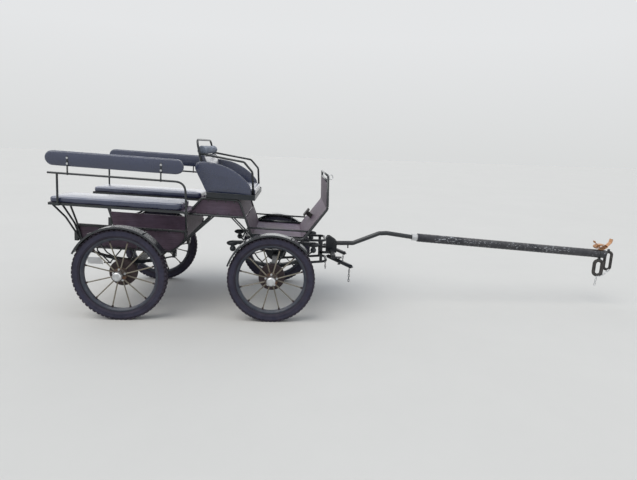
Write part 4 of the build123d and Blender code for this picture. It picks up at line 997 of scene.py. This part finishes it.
def back_fit(place):
    """The seat back, up to the rolled cover and between the arm rails."""
    solid_lean, lean = 0.356, 0.338
    rise = place.z - SEAT_BASE
    tall = rise * BACK_GROWN
    return Vector((place.x + rise * solid_lean - tall * lean, place.y * 0.940, SEAT_BASE + tall))


def wing_fit(place):
    """The wings, whose rear corners lean further back than their noses."""
    nose, length, corner, height = 1.128, 0.40, 0.690, 0.32
    behind = min(1.0, max(0.0, (nose - place.x) / length))
    rise = place.z - SEAT_BASE
    drop = 6.0 * max(0.0, corner - place.x) ** 2 * (rise / height) ** 4
    return Vector((place.x - 0.075 * rise * behind, place.y, place.z - drop))


def make_upholstery():
    """Every padded piece, simulated together so that the clock runs only once."""
    up = way_on_body(0, 0, 1)
    back_way = way_on_body(0.947, 0, 0.320)
    thin = {"voxel": 0.008, "seams": (0.014, -0.014), "welt": 0.0038, "crown": 0.004, "inset": 0.002,
            "pressure": 3.0}
    pads = [Pad("bench_cushion_" + hand, up, bench_fit, 0.011, 0.010, (-0.026,), welt=0.003, soften=9)
            for hand in HANDS]
    pads.append(Pad("seat_cushion", up, seat_fit, 0.010, 0.018, (0.032, -0.038)))
    pads.append(Pad("seat_back", back_way, back_fit, 0.010, 0.016, (0.022, -0.022)))
    pads += [Pad("backrest_" + hand, ACROSS, backrest_fit, cap=0.008, **thin) for hand in HANDS]
    pads += [Pad("seat_wing_" + hand, ACROSS, wing_fit, cap=0.009, soften=8, **thin) for hand in HANDS]
    for step in range(1, AIR_FRAMES + 1):
        SCENE.frame_set(step)
    for pad in pads:
        pad.finish()


def make_rolled_cover():
    """The rolled cloth cover on the seat back: a lumpy roll, pinched where doubled cords tie it."""
    low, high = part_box("rolled_cover")
    centre = (Vector(low) + Vector(high)) / 2 + way_on_body(-0.018, 0, 0.070)
    half = (high[1] - low[1]) / 2
    radius = (high[2] - low[2]) / 2
    rings, around = 150, 48
    ties = (-0.22, 0.24)
    points = []
    for y in evenly(-half, half, rings):
        pinch = sum(math.exp(-((y - tie) / 0.022) ** 2) for tie in ties)
        ends = min(1.0, (half - abs(y)) / 0.02 + 0.72)
        for step, (c, s) in enumerate(circle(around)):
            where = Vector((c, y * 6, s))
            lump = noise.noise(where * 1.3) * 0.10 + noise.noise(where * Vector((3, 2.5, 3))) * 0.05
            fold = 0.04 * math.sin(3 * TURN * step / around + y * 9 + 2 * noise.noise(where))
            reach = radius * ends * (0.93 - 0.20 * pinch + lump * (1 - pinch) + fold)
            points.append(centre + Vector((c * reach * 1.02, y, s * reach)))
    mesh = mesh_from(points, ring_faces(rings, around), "rolled_cover_cloth")
    roll = add_piece("rolled_cover_cloth", mesh, "cover_cloth", "body", ["rolled_cover"])
    smooth_skin(roll)
    tight = radius * 0.76
    cords = [tube_along([centre + Vector((c * tight, tie + offset, s * tight)) for c, s in circle(36)], 0.004,
                        outward=ACROSS) for tie in ties for offset in (-0.006, 0.006)]
    add_shells("rolled_cover_ties", cords, "cover_cloth")


# Wheels


def make_tyre(wheel):
    """A tyre with bulged walls, a raised rib on each wall and a blocky tread."""
    x, y, radius, _ = WHEELS[wheel]
    seat = radius - TYRE_H
    bead = [(RIM_HALF - 0.001, RIM_SEAT + 0.001), (RIM_HALF + 0.003, 0.001), (0.0355, 0.004), (0.0395, 0.014)]
    rib = [(0.0412, 0.019), (0.0428, 0.020), (0.0432, 0.024), (0.0424, 0.026), (TYRE_HALF, 0.036)]
    shoulder = [(0.0425, 0.026), (0.0432, 0.0235), (0.0424, 0.0215), (0.0405, 0.016), (0.036, 0.0105),
                (0.024, 0.0085)]
    half = [(out, seat + rise) for out, rise in bead + rib] + [(out, radius - drop) for out, drop in shoulder]
    profile = [(-out, r) for out, r in half] + half[::-1]
    steps = 120
    points = [Vector((x + r * c, y + out, radius + r * s)) for c, s in circle(steps) for out, r in profile]
    mesh = mesh_from(points, ring_faces(steps, len(profile), closed=True), "tyre_" + wheel)
    add_piece("tyre_wall_" + wheel, mesh, "tyre", "wheel_" + wheel, ["tyre_" + wheel])
    grown(TREAD, "tyre_tread_" + wheel, bpy.data.meshes.new("tread"), "tyre", "wheel_" + wheel, Count=62,
          Radius=radius - 0.0065, Block_Length=0.0275, Block_Width=0.0165, Block_Height=0.0125,
          Row_Spread=0.0215, Shoulder_Lean=0.42, Centre=(x, y, radius))


def make_wheel_fittings(wheel):
    """Nuts round the hub cap, bolts on the drum, and a socket at each spoke's outer end."""
    x, y, radius, side = WHEELS[wheel]
    nut_ring, drum_ring, spoke_end = 0.054, 0.095, radius - TYRE_H - 0.027
    out = (0, side, 0)

    def at(reach, c, s, shift=0.0):
        """A place at a distance from the hub's middle, shifted outwards."""
        return x + reach * c, y + side * shift, radius + reach * s

    nuts = [(at(nut_ring, c, s, 0.027), out) for c, s in circle(5, 0.3)]
    bolts = [(at(drum_ring, c, s, -HUB_IN), out) for c, s in circle(5, 0.3)]
    sockets = [(at(spoke_end, c, s), (-c, 0, -s)) for c, s in circle(SPOKES, TURN / SPOKES / 2)]
    body = "wheel_" + wheel
    grow_bolts("hub_nuts_" + wheel, nuts, "bare_metal", body, head=0.0085, height=0.012, washer=0.011)
    grow_bolts("drum_bolts_" + wheel, bolts, "drum_rust", body, head=0.009, height=0.009, washer=0.014)
    grow_bolts("spoke_sockets_" + wheel, sockets, "drum_rust", body, head=0.0085, height=0.018, washer=0.013,
               sides=16)


# Metalwork, closer to the photograph than its solids. Places on the body are drawn on the level one.


def make_rails():
    """Thin bent rails behind the backrests, their brackets and feet, and the boards' edge strips."""
    bars = Bars(on_body)
    y, top, foot, radius = 0.704, 0.896, 0.606, 0.0095
    strip_low, strip_top, rear = 0.607, 0.630, -0.634
    for side in SIDES:
        post = -0.545 if side < 0 else -0.608
        bars.tube([(-0.626, y, top), (0.572, y, top), (0.592, y, foot)], radius, 0.095, side=side)
        bars.tube([(post, y, top), (post, y, foot)], radius, side=side)
        for x in BRACKETS_X:
            bars.plate((x - 0.006, side * 0.7105, 0.884), (x + 0.006, side * 0.7165, 1.052))
        for x in (post, 0.591):
            bars.plate((x - 0.022, side * 0.6905, foot), (x + 0.014, side * 0.7155, 0.626))
        for edge, front in ((0.6915, 0.594), (0.2985, 0.545)):
            bars.plate((rear, side * edge - 0.001, strip_low), (front, side * edge + 0.001, strip_top))
        middle, half = side * 0.495, 0.197
        bars.plate((rear - 0.002, middle - half, strip_low), (rear, middle + half, strip_top))
    add_shells("backrest_rail_bars", bars.shells, "frame_paint", replaces=["backrest_rails"], sharp=40)


def make_seat_frame():
    """The hoop behind the driver and the arm rails inside the wings."""
    bars = Bars(on_body)
    y, radius = 0.393, 0.0105
    foot, head = (0.726, 0.752), (0.604, 1.278)
    bars.tube([(foot[0], -y, foot[1]), (head[0], -y, head[1]), (head[0], y, head[1]), (foot[0], y, foot[1])],
              radius, 0.075)
    for side in SIDES:
        bars.tube([(0.634, y, 1.150), (1.058, y, 1.101), (1.142, y, 1.012), (1.166, y, 0.752)], radius, 0.040,
                  side=side)
    add_shells("seat_hoop_bars", bars.shells, "frame_paint", replaces=["seat_hoop"])


def make_seat_tray():
    """The tray under the driver's cushion, with a rolled lip along its sides."""
    tray = Bars(on_body)
    rear, front, half, low, lip, sheet = 0.720, 1.186, 0.482, 0.746, 0.794, 0.004
    floor = low + sheet
    tray.plate((rear, -half, low), (front, half, floor))
    tray.plate((rear, -half, floor), (rear + sheet, half, low + 0.020))
    tray.plate((front - sheet, -half, floor), (front, half, lip))
    tray.plate((rear + 0.020, -0.410, 0.735), (1.010, 0.410, low))
    for side in SIDES:
        tray.plate((rear + 0.005, side * half, low + 0.005), (front - 0.005, side * (half - sheet), lip))
        edge = half - sheet / 2
        tray.tube([(rear + 0.004, edge, lip), (front - 0.006, edge, lip)], 0.0045, side=side, around=10)
    add_shells("seat_tray_shell", tray.shells, "gear_iron", replaces=["seat_tray"], sharp=40)


def make_tub_edges():
    """Tubes round the tub's side panels, and the second of the two braces that rise to the box."""
    bars = Bars(on_body)
    y, low, box = 0.431, 0.182, 0.461
    foot, pull, shoulder = Vector((0.377, y, low)), Vector((0.4885, y, 0.230)), Vector((0.538, y, 0.354))
    line = bent([(-0.488, y, 0.386), (-0.440, y, low), foot], 0.03)[:-1] + bow(foot, pull, shoulder, 9)
    braces = [((0.806, box, 0.570), (0.494, 0.440, 0.262)), ((0.965, box, 0.570), (1.132, box, 0.410))]
    for side in SIDES:
        bars.run(line + [Vector((0.545, y, 0.398))], 0.0085, side=side, around=12)
        for brace in braces:
            bars.tube(brace, 0.0065, side=side, around=12)
    add_shells("tub_edge_bars", bars.shells, "frame_paint")


def make_dash_frame():
    """Tubes along the footwell and up the dash, its two cross rails, and a small ring for the reins."""
    bars = Bars(on_body)
    y, low, rail = 0.4825, 0.3975, 0.483
    top = (1.869, y, 1.035)
    for side in SIDES:
        bars.tube([(1.183, y, low), (1.671, y, low), (1.889, y, 0.717), top], 0.0120, 0.060, side=side)
        bars.tube([(1.132, y, rail), (1.729, y, rail)], 0.0088, side=side, around=12)
        edge = side * 0.4695
        bars.plate((1.165, edge - 0.002, 0.385), (1.671, edge + 0.002, 0.424))
    for x, z in ((top[0], top[2]), (1.8725, 0.9795)):
        bars.tube([(x, -y, z), (x, y, z)], 0.0105)
    add_shells("dash_frame_bars", bars.shells, "frame_paint", replaces=["dash_frame", "footwell_sides"])
    ring = [on_body(1.893 + 0.022 * c, -y, 1.027 + 0.022 * s) for c, s in circle(32)]
    add_shells("rein_ring", [tube_along(ring, 0.004, outward=ACROSS)], "bare_metal")


def make_gear_frame():
    """The forecarriage: turning ring, side and cross bars, spring ears with rounded ends, the upper
    draught bar and two narrow hangers that carry the splinter bar."""
    bars = Bars(on_road)
    ring_low, ring_top, rail_low = 0.702, 0.712, 0.668
    section = ((0.262, ring_low), (0.310, ring_low), (0.310, ring_top), (0.262, ring_top))
    steps = 96
    ring = [on_road(WHEELBASE + r * c, r * s, z) for c, s in circle(steps) for r, z in section]
    bars.shells.append((ring, ring_faces(steps, len(section), closed=True)))
    bars.plate((WHEELBASE - 0.279, -0.060, ring_low), (WHEELBASE + 0.279, 0.060, ring_top))
    rail_y, cross, eye_reach = 0.330, 0.150, 0.4052
    for x in (WHEELBASE - cross, WHEELBASE + cross):
        bars.plate((x - 0.030, -rail_y, rail_low), (x + 0.030, rail_y, ring_low))
    for y in (-rail_y, rail_y):
        bars.plate((0.985, y - 0.020, rail_low), (1.805, y + 0.020, ring_low))
        for way in SIDES:
            eye = WHEELBASE + way * eye_reach
            bars.shells.append(bulb(on_road(eye + way * 0.004, y, 0.676), (0.058, 0.034, 0.027)))
            bars.shells.append(bulb(on_road(eye, y, 0.621), (0.030, 0.041, 0.030)))
            for ear in (y - 0.0283, y + 0.0283):
                bars.plate((eye - 0.016, ear - 0.003, 0.606), (eye + 0.016, ear + 0.003, rail_low))
    half, rear, front, z = 0.140, WHEELBASE + cross, WHEELBASE + 0.540, 0.685
    bars.tube([(rear, -half, z), (front, -half, z), (front, half, z), (rear, half, z)], 0.013, 0.060)
    hanger, thick = 1.876, 0.006
    for y in (-half, half):
        bars.plate((hanger, y - thick, 0.452), (hanger + 0.030, y + thick, 0.697))
        bars.plate((hanger, y - thick, 0.547), (hanger + 0.110, y + thick, 0.573))
    add_shells("gear_frame_bars", bars.shells, "gear_iron", frame_body("forecarriage_frame"),
               ["forecarriage_frame"], 40)


def make_mudguards(node, centre_x, radius, angles, stays, place):
    """A pair of mudguards with turned-down lips that hug the tyres, and their bent stays."""
    bars = Bars(place)
    centre_z = 0.0 if place is on_body else radius
    inner, half, lip, thick = radius + 0.021, 0.058, 0.013, 0.004
    outer = inner + thick
    edge, fold = inner - lip, half - thick
    section = [(outer, -half), (outer, half), (edge, half), (edge, fold), (inner, fold), (inner, -fold),
               (edge, -fold), (edge, -half)]
    rings, over = 72, inner + 0.009
    route = [(0.060, 0.553), (0.150, 0.553), (0.235, 0.627), (over, 0.627), (over, 0.729)]
    for side in SIDES:
        points, middle = [], side * TRACK_HALF
        for angle in evenly(math.radians(angles[0]), math.radians(angles[1]), rings):
            c, s = math.cos(angle), math.sin(angle)
            points += [place(centre_x + r * c, middle + y, centre_z + r * s) for r, y in section]
        bars.shells.append((points, ring_faces(rings, len(section))))
        for degrees in stays:
            c, s = math.cos(math.radians(degrees)), math.sin(math.radians(degrees))
            bars.tube([(centre_x + r * c, y, centre_z + r * s) for r, y in route], 0.0065, 0.024, side=side,
                      around=12, outward=Vector((1, 0, 0)))
    add_shells(node + "_guards", bars.shells, "fender_paint", frame_body(node), [node], 40)


# The pole's head and what else is small


def draw_loop(centre, half, tall, turn, wire):
    """An upright oval ring, turned about the vertical by an angle in degrees, as a shell."""
    c, s = math.cos(math.radians(turn)), math.sin(math.radians(turn))
    line = [centre + Vector((half * a * c, half * a * s, math.copysign(tall - half, b) + half * b))
            for a, b in circle(40)]
    return tube_along(line, wire, 14, outward=Vector((s, -c, 0)))


def make_pole_head():
    """Two thick draw loops, the chain that joins them, and a leather strap folded on the pole."""
    rear, front = on_road(5.030, -0.010, 0.422), on_road(5.150, 0.016, 0.500)
    loops = [draw_loop(rear, 0.040, 0.084, -14, 0.0185), draw_loop(front, 0.031, 0.100, -24, 0.0155)]
    add_shells("draw_loops", loops, "strap_rubber", "pole", ["pole_loops"])
    low_rear, low_front = rear - Vector((0.010, 0.016, 0.094)), front - Vector((-0.012, 0.030, 0.098))
    sag = (low_rear + low_front) / 2 - Vector((0, 0, 0.022))
    links = link_chain([low_rear, sag, low_front], 0.0045)
    links += link_chain([low_rear, low_rear - Vector((0.012, 0, 0.105))], 0.0032)
    add_shells("draw_chain", links, "bare_metal", "pole", ["pole_chain"])
    middle = on_road(5.036, 0, 0.664)
    turns, start, thick, bend = 2.35, 2.6, 0.0045, 0.02
    coil = []
    for grow in evenly(0.0, 1.0, 100):
        angle = TURN * turns * grow + start
        coil.append(middle + Vector(((0.030 + 0.044 * grow) * math.cos(angle), 0.006 * math.sin(angle * 1.3),
                                     (0.008 + 0.024 * grow) * math.sin(angle))))
    tail = [coil[-1], coil[-1] + Vector((0.022, 0, 0.006)), on_road(5.140, 0.004, 0.712),
            on_road(5.150, 0.006, 0.752)]
    curl = [middle + Vector(way)
            for way in ((-0.050, 0.002, 0.028), (-0.078, 0, 0.044), (-0.088, -0.003, 0.064))]
    strap = [ribbon(coil + bent(tail, bend)[1:], 0.056, thick), ribbon(bent(curl, bend), 0.040, thick)]
    add_shells("folded_strap", strap, "tan_leather", "pole", ["pole_strap"], 50)


def make_toe_board():
    """The sloping toe board, and the brake pedal with its ribbed rubber pad."""
    foot, up, out = Vector((1.665, 0, 0.397)), Vector((0.5735, 0, 0.8193)), Vector((-0.8193, 0, 0.5735))

    def on_slope(x, y, z):
        """A place up the board, across it and off its face."""
        return on_body(*(foot + up * x + ACROSS * y + out * z))

    half, face = 0.4695, 0.012
    add_shells("toe_board_panel", [slab((0.004, -half, 0.0), (0.390, half, face), on_slope)], "plywood",
               replaces=["toe_board"], sharp=30)
    pedal = Bars(on_slope)
    y, pad = 0.060, 0.090
    pedal.plate((0.168, y - 0.022, face), (0.212, y + 0.022, 0.080))
    pedal.plate((0.145, y - 0.050, 0.074), (0.235, y + 0.050, pad))
    for rib in range(6):
        x = 0.153 + 0.0146 * rib
        pedal.plate((x - 0.004, y - 0.047, pad - 0.001), (x + 0.004, y + 0.047, pad + 0.0035))
    add_shells("pedal_pads", pedal.shells, "strap_rubber", sharp=30)


def make_blank_plate():
    """A blank plate that hangs askew under the tub."""
    lies = (Matrix.Translation((REAR_X - 0.440, -0.166, 0.425)) @ Matrix.Rotation(0.62, 4, "X")
            @ Matrix.Rotation(0.06, 4, "Y"))
    half = (0.075, 0.001, 0.052)
    shell = slab([-size for size in half], half, lambda x, y, z: lies @ Vector((x, y, z)))
    plate = joined_mesh([shell], "blank_plate", 30)
    plate.materials.append(plate_white())
    add_piece("blank_plate", plate, "bare_metal", "body")


def make_fastenings():
    """Screws along the panels' edges and bolts through the backrests' brackets, on both sides."""
    tub, box, well = 0.4205, 0.4505, 0.4705
    rows = ((-0.44, 0.33, tub, 0.200, 8), (-0.42, 0.50, tub, 0.376, 8), (0.62, 1.05, box, 0.595, 5),
            (0.74, 0.99, box, 0.712, 4), (1.21, 1.62, well, 0.404, 5))
    screws, bolts = [], []
    for side in SIDES:
        out = way_on_body(0, side, 0)
        for rear, front, y, z, count in rows:
            screws += [(on_body(x, side * y, z), out) for x in evenly(rear, front, count)]
        bolts += [(on_body(x, 0.7167 * side, z), out) for x in BRACKETS_X for z in (0.985, 1.035)]
    ahead = way_on_body(1, 0, 0)
    for y in evenly(-0.44, 0.44, 7):
        screws += [(on_body(1.8915, y, 0.745), ahead), (on_body(1.8745, y, 0.950), ahead)]
    grow_bolts("panel_screws", screws, "frame_paint", "body", head=0.0052, height=0.003, washer=0.0075,
               sides=12)
    grow_bolts("bracket_bolts", bolts, "bare_metal", "body", head=0.007, height=0.005, washer=0.010)


def make_taped_pole():
    """The pole's thick length with its tape, from the collar to the head."""
    line = bpy.data.meshes.new("pole_line")
    ends = (on_road(2.9474, 0, 0.716), on_road(5.0797, 0, 0.5790))
    line.from_pydata([tuple(end) for end in ends], [(0, 1)], [])
    grown(TAPE, "pole_tape", line, "pole_wrap", "pole", smooth=True, replaces=["pole_sleeve"], Radius=0.0440)


def make_pole_seam():
    """Pale stitches of the tape's seam, along the pole's near side."""
    low, high = on_road(3.30, -0.0330, 0.7235), on_road(4.60, -0.0447, 0.6160)
    way = (high - low).normalized()
    turn = UP.cross(way).normalized()
    thick, deep = 0.0016, 0.0014
    shells = []
    for step, share in enumerate(evenly(0.0, 1.0, 24)):
        middle = low.lerp(high, share)
        half = 0.010 + 0.006 * ((step * 7) % 5) / 4
        shells.append(slab((-half, -thick, -deep), (half, thick, deep),
                           lambda x, y, z: middle + way * x + turn * y + UP * z))
    add_shells("pole_seam_stitches", shells, "bare_metal", "pole", sharp=30)


# The stage


def make_floor():
    """A plain pale floor."""
    size = 60.0
    mesh = bpy.data.meshes.new("floor")
    corners = [(-size, -size, 0), (size, -size, 0), (size, size, 0), (-size, size, 0)]
    mesh.from_pydata(corners, [], [(0, 1, 2, 3)])
    floor = bpy.data.objects.new("floor", mesh)
    SCENE.collection.objects.link(floor)
    pale = Surface("pale_floor", Specular_IOR_Level=0.1, Roughness=0.95)
    pale.feed(Base_Color=pale.toned(rgb(.63, .60, .54), 0.02, 0.5))
    mesh.materials.append(pale.material)


def make_sky():
    """Soft light from all round, brightest from above, behind a pale haze that the eye and metal see."""
    world = bpy.data.worlds.new("soft_sky")
    SCENE.world = world
    world.use_nodes = True
    sky = Nodes(world.node_tree)
    part = sky.parts(sky.node("ShaderNodeTexCoord").outputs["Generated"])
    lift = sky.plus(part["Z"], sky.times(part["Y"], 0.35))
    light = sky.blend(sky.ramp(lift, -0.10, 0.60), rgb(.13, .14, .17), rgb(.58, .66, .80))
    ray = sky.node("ShaderNodeLightPath").outputs
    mirrored = sky.calc("MAXIMUM", ray["Is Glossy Ray"], ray["Is Transmission Ray"])
    seen = sky.calc("MAXIMUM", ray["Is Camera Ray"], mirrored)
    haze = sky.blend(sky.ramp(part["Z"], -0.02, 0.20), rgb(.696, .707, .706), rgb(.78, .79, .80))
    sky.link(sky.blend(seen, light, haze), world.node_tree.nodes["Background"].inputs["Color"])


def make_lamps():
    """Three wide suns: a high one from the near side, and weak ones from the front and from behind."""
    for name, way, power, spread in (("high_sun", (-0.42, -0.40, 0.85), 1.60, 0.9),
                                     ("side_sun", (0.75, -0.35, 0.5), 0.35, 1.2),
                                     ("back_sun", (-0.1, 0.8, 0.55), 0.55, 1.2)):
        data = bpy.data.lights.new(name, "SUN")
        data.energy, data.angle = power, spread
        lamp = bpy.data.objects.new(name, data)
        lamp.rotation_euler = Vector(way).to_track_quat("Z", "Y").to_euler()
        SCENE.collection.objects.link(lamp)


SCENE.view_settings.view_transform = "Standard"
make_camera()
make_floor()
make_sky()
make_lamps()
dress_cad()
make_upholstery()
make_rolled_cover()
make_rails()
make_seat_frame()
make_seat_tray()
make_tub_edges()
make_dash_frame()
make_gear_frame()
make_mudguards("rear_fenders", 0.0, REAR_R, angles=(30, 156), stays=(62, 128), place=on_body)
make_mudguards("front_fenders", WHEELBASE, FRONT_R, angles=(40, 162), stays=(65, 125), place=on_road)
make_pole_head()
make_toe_board()
make_blank_plate()
for wheel in WHEELS:
    make_tyre(wheel)
for wheel in WHEELS:
    make_wheel_fittings(wheel)
make_fastenings()
make_taped_pole()
make_pole_seam()
